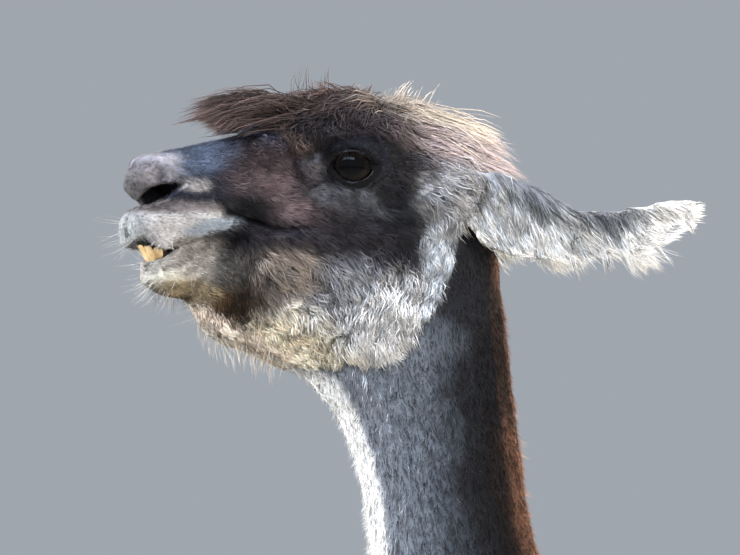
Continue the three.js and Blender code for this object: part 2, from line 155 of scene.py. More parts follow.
def make_mesh(name: str, points: np.ndarray, faces: np.ndarray) -> bpy.types.Object:
    """Makes an object from points and faces and puts it in the scene.

    Args:
        name: The object's name.
        points: Corners, one a row.
        faces: Rows of corner numbers, all of one length.

    Returns:
        The new object, smooth shaded.
    """
    mesh = bpy.data.meshes.new(name)
    faces = np.asarray(faces, dtype=np.int32)
    mesh.vertices.add(len(points))
    mesh.vertices.foreach_set("co", np.asarray(points, dtype=np.float32).ravel())
    mesh.loops.add(faces.size)
    mesh.loops.foreach_set("vertex_index", faces.ravel())
    mesh.polygons.add(len(faces))
    mesh.polygons.foreach_set("loop_start", np.arange(len(faces), dtype=np.int32) * faces.shape[1])
    mesh.update(calc_edges=True)
    mesh.polygons.foreach_set("use_smooth", np.ones(len(faces), dtype=bool))
    made = bpy.data.objects.new(name, mesh)
    bpy.context.scene.collection.objects.link(made)
    return made


def read(items: bpy.types.bpy_prop_collection, key: str, width: int, kind: type = np.float32) -> np.ndarray:
    """Reads one value from each of a mesh's items.

    Args:
        items: The corners, edges, triangles or other items.
        key: The value's name.
        width: How many numbers each item has.
        kind: The numbers' type.

    Returns:
        The numbers, one row an item.
    """
    flat = np.empty(width * len(items), dtype=kind)
    items.foreach_get(key, flat)
    return flat.reshape(-1, width)


def loops_of(mesh: bpy.types.Mesh) -> np.ndarray:
    """Gives the corner numbers of each triangle of a mesh."""
    return read(mesh.loops, "vertex_index", 1, np.int32).reshape(-1, 3)


def corners(mesh: bpy.types.Mesh) -> np.ndarray:
    """Gives a mesh's corners, one a row."""
    return read(mesh.vertices, "co", 3).astype(float)


def set_corners(mesh: bpy.types.Mesh, points: np.ndarray) -> None:
    """Moves a mesh's corners to the rows of an array."""
    mesh.vertices.foreach_set("co", points.astype(np.float32).ravel())
    mesh.update()


def store(mesh: bpy.types.Mesh, name: str, kind: str, word: str, values: np.ndarray) -> None:
    """Stores values at a mesh's corners as a named attribute."""
    layer = mesh.attributes.new(name, kind, "POINT")
    layer.data.foreach_set(word, np.asarray(values, dtype=np.float32).ravel())


def paint(made: bpy.types.Object, colour: np.ndarray) -> None:
    """Stores linear colours at a piece's corners."""
    layer = made.data.color_attributes.new(COLOUR, "FLOAT_COLOR", "POINT")
    filled = np.concatenate([colour, np.ones((len(colour), 1))], axis=1)
    layer.data.foreach_set("color", filled.astype(np.float32).ravel())


def evaluated(made: bpy.types.Object) -> None:
    """Turns an object's modifiers into its plain mesh."""
    graph = bpy.context.evaluated_depsgraph_get()
    mesh = bpy.data.meshes.new_from_object(made.evaluated_get(graph))
    made.modifiers.clear()
    made.data = mesh


def facing(points: np.ndarray, faces: np.ndarray) -> np.ndarray:
    """Gives the normal at each corner of a triangle mesh.

    Args:
        points: The corners.
        faces: The triangles.

    Returns:
        Unit normals, one a row.
    """
    a, b, c = (points[faces[:, i]] for i in range(3))
    across = np.cross(b - a, c - a)
    total = np.stack(
        [sum(np.bincount(faces[:, i], across[:, k], len(points)) for i in range(3)) for k in range(3)],
        axis=1,
    )
    return unit(total)


def averaged(values: np.ndarray, pairs: np.ndarray) -> np.ndarray:
    """Averages each corner's values over its neighbours.

    Args:
        values: One row a corner.
        pairs: The mesh's edges.

    Returns:
        The neighbours' mean for each corner.
    """
    one, two = pairs.T
    count = len(values)
    near = np.bincount(one, minlength=count) + np.bincount(two, minlength=count)
    total = np.stack(
        [
            np.bincount(one, values[two, i], count) + np.bincount(two, values[one, i], count)
            for i in range(values.shape[1])
        ],
        axis=1,
    )
    return total / np.maximum(near, 1)[:, None]


def blurred(values: np.ndarray, pairs: np.ndarray, rounds: int) -> np.ndarray:
    """Blurs values over a mesh."""
    for _ in range(rounds):
        values = (values + averaged(values, pairs)) / 2
    return values


def relaxed(
    points: np.ndarray, pairs: np.ndarray, rounds: int, share: np.ndarray | float = 1.0
) -> np.ndarray:
    """Smooths a mesh's corners without shrinking it.

    Args:
        points: The corners.
        pairs: The mesh's edges.
        rounds: How many times each corner moves in and back out.
        share: How much of the move each corner makes.

    Returns:
        The smoothed corners.
    """
    for _ in range(rounds):
        for step in IN_AND_OUT:
            points = points + step * share * (averaged(points, pairs) - points)
    return points


def placed(made: bpy.types.Object, slot: str, *nodes: str) -> None:
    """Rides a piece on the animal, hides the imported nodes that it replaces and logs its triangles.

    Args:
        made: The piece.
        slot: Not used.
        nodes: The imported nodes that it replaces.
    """
    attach(made, "root")
    if nodes:
        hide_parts(*nodes)
    log.info("%s: %d triangles", made.name, sum(len(face.vertices) - 2 for face in made.data.polygons))


# ---- Places on the animal, from the frame ----
@dataclass
class Anatomy:
    """Places that every part reads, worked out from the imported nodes."""

    def __post_init__(self) -> None:
        """Reads the nodes' boxes."""
        self.eyes = {}
        for side, name in ((Side.LEFT, "eye_left"), (Side.RIGHT, "eye_right")):
            low, high = self.box(name)
            self.eyes[side] = (low + high) / 2
            self.eye_radius = float((high - low)[2] / 2)
        self.eye = self.eyes[Side.LEFT] * (1, 0, 1)
        self.trunk = self.box("trunk")
        self.head = self.box("head")
        self.ears = {Side.LEFT: self.leaf("ear_left"), Side.RIGHT: self.leaf("ear_right")}

    def box(self, node: str) -> tuple[np.ndarray, np.ndarray]:
        """Gives a node's lowest and highest corner."""
        low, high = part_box(node)
        return np.array(low), np.array(high)

    def on_ear(self, points: np.ndarray, leaf: tuple) -> tuple[np.ndarray, np.ndarray]:
        """Gives places on an ear as its own measures.

        Args:
            points: Places, one a row.
            leaf: The ear's measures along its length.

        Returns:
            Each place's share of the ear's length, and its place across, from -1 below to 1 above.
        """
        places, middle, half = leaf
        x = points[:, 0]
        across = (points[:, 2] - np.interp(x, places, middle)) / np.interp(x, places, half)
        return (x - places[0]) / (places[-1] - places[0]), across

    def leaf(self, node: str, steps: int = 12, thin_mm: float = 6.0) -> tuple[np.ndarray, ...]:
        """Measures an ear along its length.

        Args:
            node: The ear's node.
            steps: How many lengths it is measured in.
            thin_mm: The least half width that it gives.

        Returns:
            Places along x, the height of its middle line there and half its width.
        """
        points = corners(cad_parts[node].data)
        low, high = points[:, 0].min(), points[:, 0].max()
        places = np.linspace(low, high, steps)
        reach = (high - low) / steps
        rows = [points[np.abs(points[:, 0] - place) < reach, 2] for place in places]
        middle = np.array([(row.max() + row.min()) / 2 for row in rows])
        half = np.array([(row.max() - row.min()) / 2 for row in rows])
        return places, middle, np.maximum(half, thin_mm * MM)

    def head_mm(self, points: np.ndarray) -> tuple[np.ndarray, np.ndarray, np.ndarray]:
        """Gives places as the head's own measures.

        Args:
            points: Places, one a row.

        Returns:
            Ahead of the eyes, above the eyes and out from the middle, in millimetres.
        """
        ahead = (self.eye[0] - points[:, 0]) / MM
        above = (points[:, 2] - self.eye[2]) / MM
        return ahead, above, np.abs(points[:, 1]) / MM

    def from_head_mm(self, ahead: float, above: float, out: float = 0.0) -> np.ndarray:
        """Gives a place from the head's own measures."""
        return np.array([self.eye[0] - ahead * MM, out * MM, self.eye[2] + above * MM])


@dataclass
class Stretch:
    """A map that spreads the head out, so that an even remesh leaves it finer than the body."""

    start: float
    end: float
    centre_x: float
    most: float = 4.5
    lowest: float = -0.1
    highest: float = 2.0
    steps: int = 400

    def __post_init__(self) -> None:
        """Adds up the spread with height."""
        self.height = np.linspace(self.lowest, self.highest, self.steps)
        self.spread = 1 + (self.most - 1) * smooth(self.height, self.start, self.end)
        climbs = np.diff(self.height) * (self.spread[1:] + self.spread[:-1]) / 2
        self.mapped = self.height[0] + np.concatenate([[0], np.cumsum(climbs)])

    def out(self, points: np.ndarray) -> np.ndarray:
        """Spreads places out."""
        by = np.interp(points[:, 2], self.height, self.spread)
        moved = points * by[:, None]
        moved[:, 0] = self.centre_x + (points[:, 0] - self.centre_x) * by
        moved[:, 2] = np.interp(points[:, 2], self.height, self.mapped)
        return moved

    def back(self, points: np.ndarray) -> np.ndarray:
        """Brings spread places back."""
        height = np.interp(points[:, 2], self.mapped, self.height)
        by = np.interp(height, self.height, self.spread)
        across = self.centre_x + (points[:, 0] - self.centre_x) / by
        return np.stack([across, points[:, 1] / by, height], axis=1)


# ---- Markings and the lie of the coat ----
class Part(Enum):
    """The stretches of the body that wear the coat in their own way."""

    HEAD = 0
    EAR = 1
    NECK = 2
    TRUNK = 3
    TAIL = 4
    THIGH = 5
    SHANK = 6
    FOOT = 7


@dataclass(frozen=True)
class Patch:
    """A soft-edged oval on both sides of the head, with what it changes there.

    colours are a lock's at its root and tip, hair_mm its length and width, depth_mm how deep the skin
    lies under the coat, flow the way the coat lies as ahead, above and out, and thick how dense it is.
    The darker root colour is partly painted shade deep in the coat.
    """

    at: tuple[float, float]
    half: tuple[float, float]
    colours: str
    hair_mm: tuple[float, float] | None = None
    depth_mm: float | None = None
    flow: tuple[float, float, float] | None = None
    tilt: float = 0.0
    thick: float | None = None
    edge: float = 0.4
    ragged: float = 0.16

    def share(self, ahead: np.ndarray, above: np.ndarray, rough: np.ndarray) -> np.ndarray:
        """Gives how much of the patch reaches each place.

        Args:
            ahead: Millimetres ahead of the eyes.
            above: Millimetres above the eyes.
            rough: Noise that makes the edge ragged.

        Returns:
            From 0, outside, to 1.
        """
        turn = math.radians(self.tilt)
        x, y = ahead - self.at[0], above - self.at[1]
        long = (x * math.cos(turn) + y * math.sin(turn)) / self.half[0]
        wide = (y * math.cos(turn) - x * math.sin(turn)) / self.half[1]
        return 1 - smooth(np.hypot(long, wide) + self.ragged * rough, 1 - self.edge, 1 + self.edge)


HEAD_BASE = Patch((0, 0), (900, 900), "252225 3d383c", (13, 1.2), 8, (-1, -0.3, 0), thick=1)
HEAD_PATCHES = (
    # Jaw, throat and the pale ruff behind the cheek.
    Patch((10, -150), (120, 50), "d4ccb9 fffaec", (19, 1.6), 15, (-0.6, -1, 0)),
    Patch((-26, -42), (46, 35), "101115 25272d", (16, 1.5), 10, (-1, -0.9, 0)),
    # A dark band under the cheek's bulge: partly the coat's dark hair, partly painted shade of the fold.
    Patch((41, -62), (72, 21), "16151a 37353d", (15, 1.4), 9, (-1, -0.7, 0)),
    Patch((53, -150), (66, 18), "bcae91 fff3da", (16, 1.6), 11, (-0.5, -1, 0), tilt=22),
    Patch((13, -103), (60, 26), "3f4148 aeb2bb", (23, 1.7), 16, (-0.8, -0.7, 0), tilt=8),
    Patch((-36, -128), (50, 38), "dfe3e9 ffffff", (30, 1.8), 18, (0.0, -1, 0)),
    Patch((-70, -78), (17, 52), "959da9 e6edf4", (22, 1.7), 12, (0.1, -1, 0), tilt=4),
    Patch((76, -88), (38, 22), "352f2b 9c928a", (20, 1.6), 12, (-1, -0.8, 0)),
    Patch((107, -112), (28, 24), "150d06 3f2d16", (20, 1.6), 12, (-0.6, -1, 0)),
    # A pale cream band along the jaw's lower edge: partly the wool's own cream, partly a painted sunlit rim.
    Patch((101, -140), (52, 9), "a18f78 f4e6d8", (14, 1.4), tilt=31),
    # The crown's long wool, forward and down over the brow, and swept back behind it.
    Patch((31, 62), (84, 30), "1a1413 665652", (36, 1.8), 22, (0.9, -0.1, 0), thick=0.8),
    Patch((62, 24), (20, 26), "1e1715 7c6354", (26, 1.6), 10, (0.7, -0.75, 0), tilt=60),
    Patch((8, 45), (48, 12), "121013 403b3e", (30, 1.6), 14, (0.9, -0.5, 0), tilt=-6),
    Patch((-42, 24), (46, 28), "1c1618 574b50", (38, 1.8), 18, (-1, -0.55, 0)),
    Patch((-86, 32), (50, 30), "746668 dfcfcd", (48, 1.8), 18, (-1, -0.5, 0)),
    # The crown's back top: partly the wool's own cream, partly a painted backlit rim.
    Patch((-92, 62), (46, 14), "8f8273 fff4e4", (52, 1.8), None, (-1, -0.1, 0)),
    # The ear's root.
    Patch((-76, -14), (26, 26), "7e8086 ccccce", (40, 1.4), 2, (-1, -0.5, 0)),
    # The face's short hair.
    Patch((135, -12), (68, 52), "191b22 2e313c", (7, 1.0), 2, (-1, -0.35, 0), thick=1.1),
    # The nose's bridge: slate hair whose pale blue-grey tips are partly a painted highlight of sky light from
    # above.
    Patch((121, 13), (64, 18), "2f3644 6c7c98", (7, 1.0), 2, (-1, -0.1, 0), tilt=-12),
    Patch((76, -4), (34, 34), "211b1d 4e4448", (9, 1.1), 3, (-1, -0.4, 0), tilt=30),
    Patch((75, -26), (35, 20), "2b2527 786a70", (11, 1.2), 5, (-1, -0.5, 0), tilt=18),
    Patch((-3, 7), (50, 31), "0d0d12 20222b", (7, 1.0), 2, (-1, -0.35, 0)),
    Patch((40, 3), (8, 14), "29282b 67656a", (8, 1.0), tilt=-15),
    Patch((12, -27), (38, 10), "2b2d34 575a61", (9, 1.1), 3, (-1, -0.5, 0), tilt=8),
    # Nearly black where the cheek's fold meets the mouth's corner: painted shade in the fold.
    Patch((100, -42), (24, 17), "08080a 14151a", (7, 1.0), 2, tilt=-30),
    Patch((156, -50), (50, 18), "7c7b7d c4c1c0", (6, 0.9), 1.2, (-1, -0.1, 0), edge=0.2),
    Patch((123, -54), (25, 8), "6f7882 a6afb9", (7, 1.0), tilt=-8, edge=0.2),
    Patch((193, -57), (15, 26), "7e8183 b6b9b9", (6, 0.9), 1.2, (-0.5, -0.8, 0.4)),
    Patch((168, 4), (22, 8), "80818a c2c2cb", (5, 0.8), 1, tilt=-8),
    Patch((173, -8), (24, 11), "57555a 8a868a", (5, 0.8), 1),
    Patch((188, -22), (11, 20), "454346 6c6968", (4, 0.8), 1),
    Patch((150, -36), (38, 6), "4a4546 8f8888"),
    Patch((136, -17), (12, 5), "6f6e71 b3b1b2", tilt=-8),
    Patch((150, -84), (47, 20), "6a6864 a9a59f", (8, 1.0), 2, (-1, -0.3, 0)),
    Patch((159, -98), (15, 8), "8b887e d6d4c8"),
    Patch((143, -107), (25, 10), "5f5544 98896d", (10, 1.1), 3, (-1, -0.5, 0)),
)
# Where the ruff and the crown end over the shorn neck: ahead of the eyes, by height above them.
NAPE_HEIGHTS = (-173, -154, -119, -75, -42, -10, 20)
NAPE_PLACES = (36, -29, -66, -86, -92, -98, -112)


@dataclass
class Traits:
    """What the coat is like at each corner of the skin."""

    root: np.ndarray
    tip: np.ndarray
    hair: np.ndarray
    depth: np.ndarray
    flow: np.ndarray
    thick: np.ndarray

    @classmethod
    def empty(cls, count: int) -> "Traits":
        """Makes traits that are all nought, for a number of corners."""
        return cls(*(np.zeros((count, width)) for width in (3, 3, 2, 1, 3, 1)))


# Away from the head: a lock's length and width and the coat's depth, in millimetres.
PLAIN_COATS = {
    Part.EAR: (16, 1.0, 1.5),
    Part.NECK: (6.5, 1.3, 2.5),
    Part.TRUNK: (34, 6.5, 12),
    Part.TAIL: (70, 6.0, 16),
    Part.THIGH: (26, 4.5, 7),
    Part.SHANK: (14, 3.0, 4),
    Part.FOOT: (9, 2.0, 2),
}
# A shorn neck, by the turn from its front round to its nape: white, grey, slate, dark and red brown; the red
# brown at the nape's edge is partly the coat's own and partly a painted sunlit rim.
NECK_TURNS = (0, 20, 32, 42, 58, 80, 94, 112, 123, 139, 158)
NECK_ROOTS = "cccbc7 c3c2bf 8c8f94 5c6067 3c424b 21252b 0b0c0e 080708 1a1312 412f27 58412f"
NECK_TIPS = "f0efec e9e8e6 b6b9bd 8b9098 868e98 525963 222328 151213 33261f 785441 8c6853"
# The trunk, by how far it faces up: pale below and dark above.
TRUNK_SLOPES = (-0.95, -0.6, -0.1, 0.4, 1.0)
TRUNK_ROOTS = "a69f90 746b62 443a36 332a28 2b2322"
TRUNK_TIPS = "bcb5a8 8d857b 554a45 3f342f 382c27"
# Each of these is the colour at a lock's root and tip; the darker root is partly painted shade deep in the
# coat.
CHEST, TAIL = "a39c8d d8d3c8", "2a211e 6b5a4e"
LEG_OUTSIDE, LEG_INSIDE = "241d1c 463a36", "6e665c 9b9285"
EAR_FACE, EAR_LOW, EAR_HIGH = "8a929b fcfeff", "dcd8ce fffdf4", "4a4d54 8f959e"
# EAR_TIP is the ear tip's white hair, brought up to full white as painted backlight through it.
EAR_BACK, EAR_BEHIND, EAR_TIP = "38363b 77777f", "8f8b84 dedad0", "fbfbf9 ffffff"


def ramp(places: np.ndarray, stops: tuple, codes: str) -> np.ndarray:
    """Runs smoothly through hex colours.

    Args:
        places: Where on the scale each colour is wanted.
        stops: The scale's stops.
        codes: The colour at each stop.

    Returns:
        Linear colours, one a row.
    """
    table = np.array(linears(codes))
    return np.stack([np.interp(places, stops, table[:, i]) for i in range(3)], axis=1)


@dataclass
class Markings:
    """Paints the traits of the coat over the skin, from the head's patches and the body's own rules."""

    anatomy: Anatomy

    def head(self, points: np.ndarray) -> Traits:
        """Lays the head's patches over one another.

        Args:
            points: Places on the head.

        Returns:
            Their traits.
        """
        ahead, above, _ = self.anatomy.head_mm(points)
        rough = noise(points, 9 * MM, 1) + 0.6 * noise(points, 4 * MM, 2)
        made = Traits.empty(len(points))
        for patch in (HEAD_BASE, *HEAD_PATCHES):
            share = patch.share(ahead, above, rough)[:, None]
            root, tip = linears(patch.colours)
            changes = {"root": root, "tip": tip, "hair": patch.hair_mm, "depth": patch.depth_mm}
            changes |= {"flow": patch.flow, "thick": patch.thick}
            for key, value in changes.items():
                if value is not None:
                    setattr(made, key, mix(getattr(made, key), np.asarray(value), share))
        side = np.clip(points[:, 1] / (12 * MM), -1, 1)
        ahead_flow, above_flow, out_flow = made.flow.T
        made.flow = np.stack([-ahead_flow, side * out_flow, above_flow], axis=1)
        return made

    def shorn(self, points: np.ndarray) -> np.ndarray:
        """Says how far each place is past the ruff, on the shorn neck, from 0 to 1."""
        ahead, above, _ = self.anatomy.head_mm(points)
        rough = noise(points, 8 * MM, 6) + 0.5 * noise(points, 3 * MM, 7)
        edge = np.interp(above, NAPE_HEIGHTS, NAPE_PLACES, left=900, right=-900)
        return smooth(edge - ahead + 3 * rough, -4, 4)

    def rising(self, points: np.ndarray) -> np.ndarray:
        """Says by what share the skin under the ruff's edge rises to meet the shorn neck."""
        ahead, above, _ = self.anatomy.head_mm(points)
        edge = np.interp(above, NAPE_HEIGHTS, NAPE_PLACES, left=900, right=-900)
        near = band(edge - ahead, -55, -5, 60, 90) * (above > -260)
        return (1 - 0.8 * near * smooth(-above, -10, 40))[:, None]

    def head_and_neck(self, points: np.ndarray, normal: np.ndarray) -> Traits:
        """Paints the head down to the ruff's edge, and the neck from there."""
        share = self.shorn(points)[:, None]
        head, neck = self.head(points), self.plain(Part.NECK, points, normal)
        for key, value in vars(neck).items():
            setattr(head, key, mix(getattr(head, key), value, share))
        return head

    def ear(self, points: np.ndarray, normal: np.ndarray, side: Side) -> Traits:
        """Paints an ear: long white hair hangs across its open face, its back is grey and dark, and its tip
        is white, brightened as painted backlight.

        Args:
            points: Places on the ear.
            normal: The surface's normals there.
            side: Which ear.

        Returns:
            Their traits.
        """
        reach, across = self.anatomy.on_ear(points, self.anatomy.ears[side])
        inner = smooth(normal[:, 1] * side.value, -0.15, 0.35)[:, None]
        rough = noise(points, 8 * MM, 3)
        end = smooth(reach + 0.06 * rough, 0.66, 0.86)[:, None]
        low = smooth(-across + 0.2 * rough, 0.35, 0.8)[:, None]
        high = (smooth(across + 0.2 * rough, 0.45, 0.9) * smooth(reach, 0.04, 0.26))[:, None]
        root, tip = linears(EAR_FACE)
        layers = ((EAR_LOW, low), (EAR_HIGH, high), (EAR_BACK, 1 - inner), (EAR_BEHIND, low * (1 - inner)))
        for colours, share in (*layers, (EAR_TIP, end)):
            root, tip = (mix(one, two, share) for one, two in zip((root, tip), linears(colours)))
        open_face, back = np.array([0.55, 0.0, -1.0]), np.array([1.0, 0.0, -0.25])
        flow = back + (open_face - back) * inner * (1 - 0.6 * end)
        long, wide, deep = PLAIN_COATS[Part.EAR]
        hair = np.tile((float(long), wide), (len(points), 1))
        longer = 24 * inner * (1 - end) * smooth(reach, 0.0, 0.3)[:, None] * (1 - 0.8 * low) - 6 * low
        hair[:, 0] += longer[:, 0] + 8 * end[:, 0]
        one = np.ones((len(points), 1))
        return Traits(root, tip, hair, deep * one, flow, one)

    def plain(self, part: Part, points: np.ndarray, normal: np.ndarray) -> Traits:
        """Paints the neck, the trunk, the tail or a leg.

        Args:
            part: Which of them.
            points: Places on it.
            normal: The surface's normals there.

        Returns:
            Their traits.
        """
        rough = noise(points, 30 * MM, 4) + 0.5 * noise(points, 12 * MM, 5)
        below = -self.anatomy.head_mm(points)[1]
        turn = np.degrees(np.arctan2(np.abs(normal[:, 1]), -normal[:, 0])) + 5 * rough
        # The front's white is narrower high up. The nape's red brown, partly a painted sunlit rim, runs only
        # from under the poll to the shoulders.
        turn -= 15 * (1 - smooth(below, 150, 245))
        turn = np.minimum(turn, 110 + 60 * smooth(below, 55, 95))
        turn = np.minimum(turn, 116 + 60 * (1 - smooth(below + 20 * rough, 350, 460)))
        slope = normal[:, 2] + 0.1 * rough
        one = np.ones((len(points), 1))
        if part is Part.NECK:
            root, tip = ramp(turn, NECK_TURNS, NECK_ROOTS), ramp(turn, NECK_TURNS, NECK_TIPS)
            flow = (0.22, 0.0, -0.97)
        elif part is Part.TRUNK:
            root, tip = ramp(slope, TRUNK_SLOPES, TRUNK_ROOTS), ramp(slope, TRUNK_SLOPES, TRUNK_TIPS)
            chest = smooth(-normal[:, 0] + 0.1 * rough, 0.55, 0.9)[:, None]
            root, tip = (mix(own, pale, chest) for own, pale in zip((root, tip), linears(CHEST)))
            flow = (1.0, 0.0, -0.55)
        elif part is Part.TAIL:
            root, tip = (one * colour for colour in linears(TAIL))
            flow = (0.15, 0.0, -1.0)
        else:
            inside = smooth(-normal[:, 1] * np.sign(points[:, 1]) + 0.2 * rough, 0.0, 0.7)[:, None]
            outer, inner = linears(LEG_OUTSIDE), linears(LEG_INSIDE)
            root, tip = (mix(own, pale, inside) for own, pale in zip(outer, inner))
            flow = (0.0, 0.0, -1.0)
        *hair, deep = PLAIN_COATS[part]
        return Traits(root, tip, one * hair, one * deep, one * flow, one)

    def paint(self, points: np.ndarray, normal: np.ndarray, parts: np.ndarray, pairs: np.ndarray) -> Traits:
        """Paints the whole skin and blurs what must not step from part to part.

        Args:
            points: The skin's corners.
            normal: Their normals.
            parts: The part that each belongs to.
            pairs: The skin's edges.

        Returns:
            The traits of every corner.
        """
        made = Traits.empty(len(points))
        for part in Part:
            chosen = [(parts == part.value) & (np.sign(points[:, 1]) == side.value) for side in Side]
            for side, here in zip(Side, chosen):
                if part is Part.HEAD or part is Part.NECK:
                    found = self.head_and_neck(points[here], normal[here])
                elif part is Part.EAR:
                    found = self.ear(points[here], normal[here], side)
                else:
                    found = self.plain(part, points[here], normal[here])
                for key in vars(made):
                    getattr(made, key)[here] = getattr(found, key)
        made.depth = made.depth * self.rising(points)
        made.depth = blurred(made.depth, pairs, 8)
        made.hair = blurred(made.hair, pairs, 4)
        made.root, made.tip = blurred(made.root, pairs, 2), blurred(made.tip, pairs, 2)
        upper = np.isin(parts, (Part.HEAD.value, Part.NECK.value))
        low = (smooth(-normal[:, 2], 0.35, 0.9) * upper)[:, None]
        flow = blurred(unit(made.flow) + low * np.array([1.2, 0.0, 0.0]), pairs, 6)
        made.flow = unit(flow - normal * along(flow, normal))
        return made


# ---- The skin ----
@dataclass(frozen=True)
class Stroke:
    """A groove or a ridge drawn on both sides of the face, through places ahead of and above the eyes.

    reach_mm is half its width at each place and deep_mm how far it goes in there, or out if negative.
    steep is how much of the half width is floor. The last field says how dark that floor is painted, as
    painted shade, and a stroke that leans inward is painted fully dark there.
    """

    places: tuple
    reach_mm: tuple
    deep_mm: tuple
    steep: float = 0.3
    inward: float = 0.0
    front: bool = False
    painted_shade: float = 0.0


@dataclass(frozen=True)
class Nudge:
    """A soft push: where, how far it reaches, how far ahead, above and out it moves, and on which side.

    side is the sign of y there, or 0 for both.
    """

    at_mm: tuple[float, float, float]
    reach_mm: float
    move_mm: tuple[float, float, float]
    side: float = 0.0


NUDGES = (
    # The upper lip's drooping front, and the lower lip's edge drawn up to it behind the teeth.
    Nudge((196, -64, 10), 24, (-1, -9, 0)),
    Nudge((162, -62, 26), 18, (0, -6.5, 0)),
    Nudge((194, -30, 8), 17, (0, -7, 0)),
    Nudge((142, -78, 24), 15, (0, 5, 0)),
    Nudge((157, -77, 24), 11, (0, 5, 0)),
    Nudge((158, -62, 26), 11, (0, -3, 0)),
    Nudge((118, -66, 30), 16, (0, 2.5, 1)),
    # The ear's lower edge, drawn up.
    Nudge((-137, -90, 100), 52, (0, 15, 0)),
    Nudge((-196, -98, 100), 58, (0, 17, 0)),
    Nudge((-290, -36, 110), 90, (0, -9, 0), 1.0),
    # The brown bulge of the cheek and the lobe of the lip in front of it.
    Nudge((84, -22, 44), 26, (-2, -1, 4)),
    Nudge((128, -46, 34), 18, (-1, 0, 3)),
)


STROKES = (
    # The cheek's bulge, and the fold under it, its floor painted dark as shade.
    Stroke(((98, -18), (64, -28)), (26, 24), (-4.5, -3.5), 0.0),
    Stroke(
        ((116, -30), (107, -42), (93, -50), (74, -55), (50, -53), (32, -46)), (5, 8, 9, 9, 8, 5),
        (3, 8, 10, 9, 6, 1), 0.1, painted_shade=0.85
    ),
    # The hollow round the eye and the brow over it; the fold in front of the eye has its floor painted dark
    # as shade.
    Stroke(((38, 8), (25, 23), (0, 29), (-24, 25), (-36, 8)), (9, 10, 10, 10, 9), (4, 5, 4, 4, 3), 0.1),
    Stroke(
        ((52, 6), (44, 26), (25, 38), (-3, 44), (-32, 36), (-46, 18)), (8, 8, 9, 9, 9, 8),
        (-2, -3.5, -4, -3.5, -3, -2), 0.1
    ),
    Stroke(((44, 36), (50, 19), (52, 2), (45, -15)), (5, 6, 6, 5), (2.5, 4.5, 4.5, 2), 0.1, painted_shade=0.7),
    Stroke(((30, -14), (12, -22), (-12, -21), (-30, -10)), (4, 5, 5, 4), (1.2, 2.6, 2.2, 1), 0.1),
    # The nostril's wing and the pad before it.
    Stroke(
        ((196, -8), (180, 3), (163, 3), (148, -6), (132, -16)), (7, 8, 8, 7, 5),
        (-1.5, -3.5, -4, -3.2, -1), 0.1
    ),
    Stroke(((190, -14), (187, -28)), (7, 7), (-2.5, -2), 0.0),
    # The nostril, a comma that runs back from the front, painted dark inside as shade.
    Stroke(
        ((183, -38), (177, -33), (170, -27), (161, -23), (152, -19), (143, -17)), (2.2, 4, 8.5, 8.5, 5, 2),
        (2, 6, 17, 17, 9, 1), 0.45, 0.5
    ),
    Stroke(((166, -37), (150, -33), (134, -31), (118, -38)), (4, 5, 6, 6), (1.5, 2, 2.5, 2.5), 0.1),
    # The upper lip's roll, its cleft down the middle, and the mouth's line from the teeth to its corner,
    # painted dark in its floor as shade.
    Stroke(((172, -48), (150, -46), (128, -44), (112, -46)), (11, 12, 11, 8), (-2.2, -3, -2.6, -1), 0.0),
    Stroke(((0, -34), (0, -46), (0, -60), (0, -74)), (3.5, 4, 4.5, 5), (3, 5, 6, 7), 0.1, front=True),
    Stroke(
        ((156, -72), (139, -67), (124, -62), (110, -58.5), (99, -51)), (3.4, 3.4, 3.2, 3, 2.6),
        (6, 6.5, 6, 5, 2.5), 0.25, painted_shade=0.85
    ),
    Stroke(((100, -52), (93, -57), (90, -64)), (5, 6, 5), (2.5, 3, 1), 0.1, painted_shade=0.3),
    # The lower lip's roll and its dimple.
    Stroke(((164, -76), (146, -74), (126, -69)), (7, 7, 6), (-1.6, -2, -1.4), 0.0),
    Stroke(((160, -88), (148, -86), (136, -80)), (4, 5, 4), (1.8, 2.4, 1.2), 0.1),
)


# The part of the body that a flesh node belongs to, by how its name ends. The rest are the ears.
PART_ENDINGS = {
    "head": Part.HEAD, "jaw": Part.HEAD, "neck": Part.NECK, "trunk": Part.TRUNK, "tail": Part.TAIL,
    "upper": Part.THIGH, "shank": Part.SHANK, "foot": Part.FOOT,
}


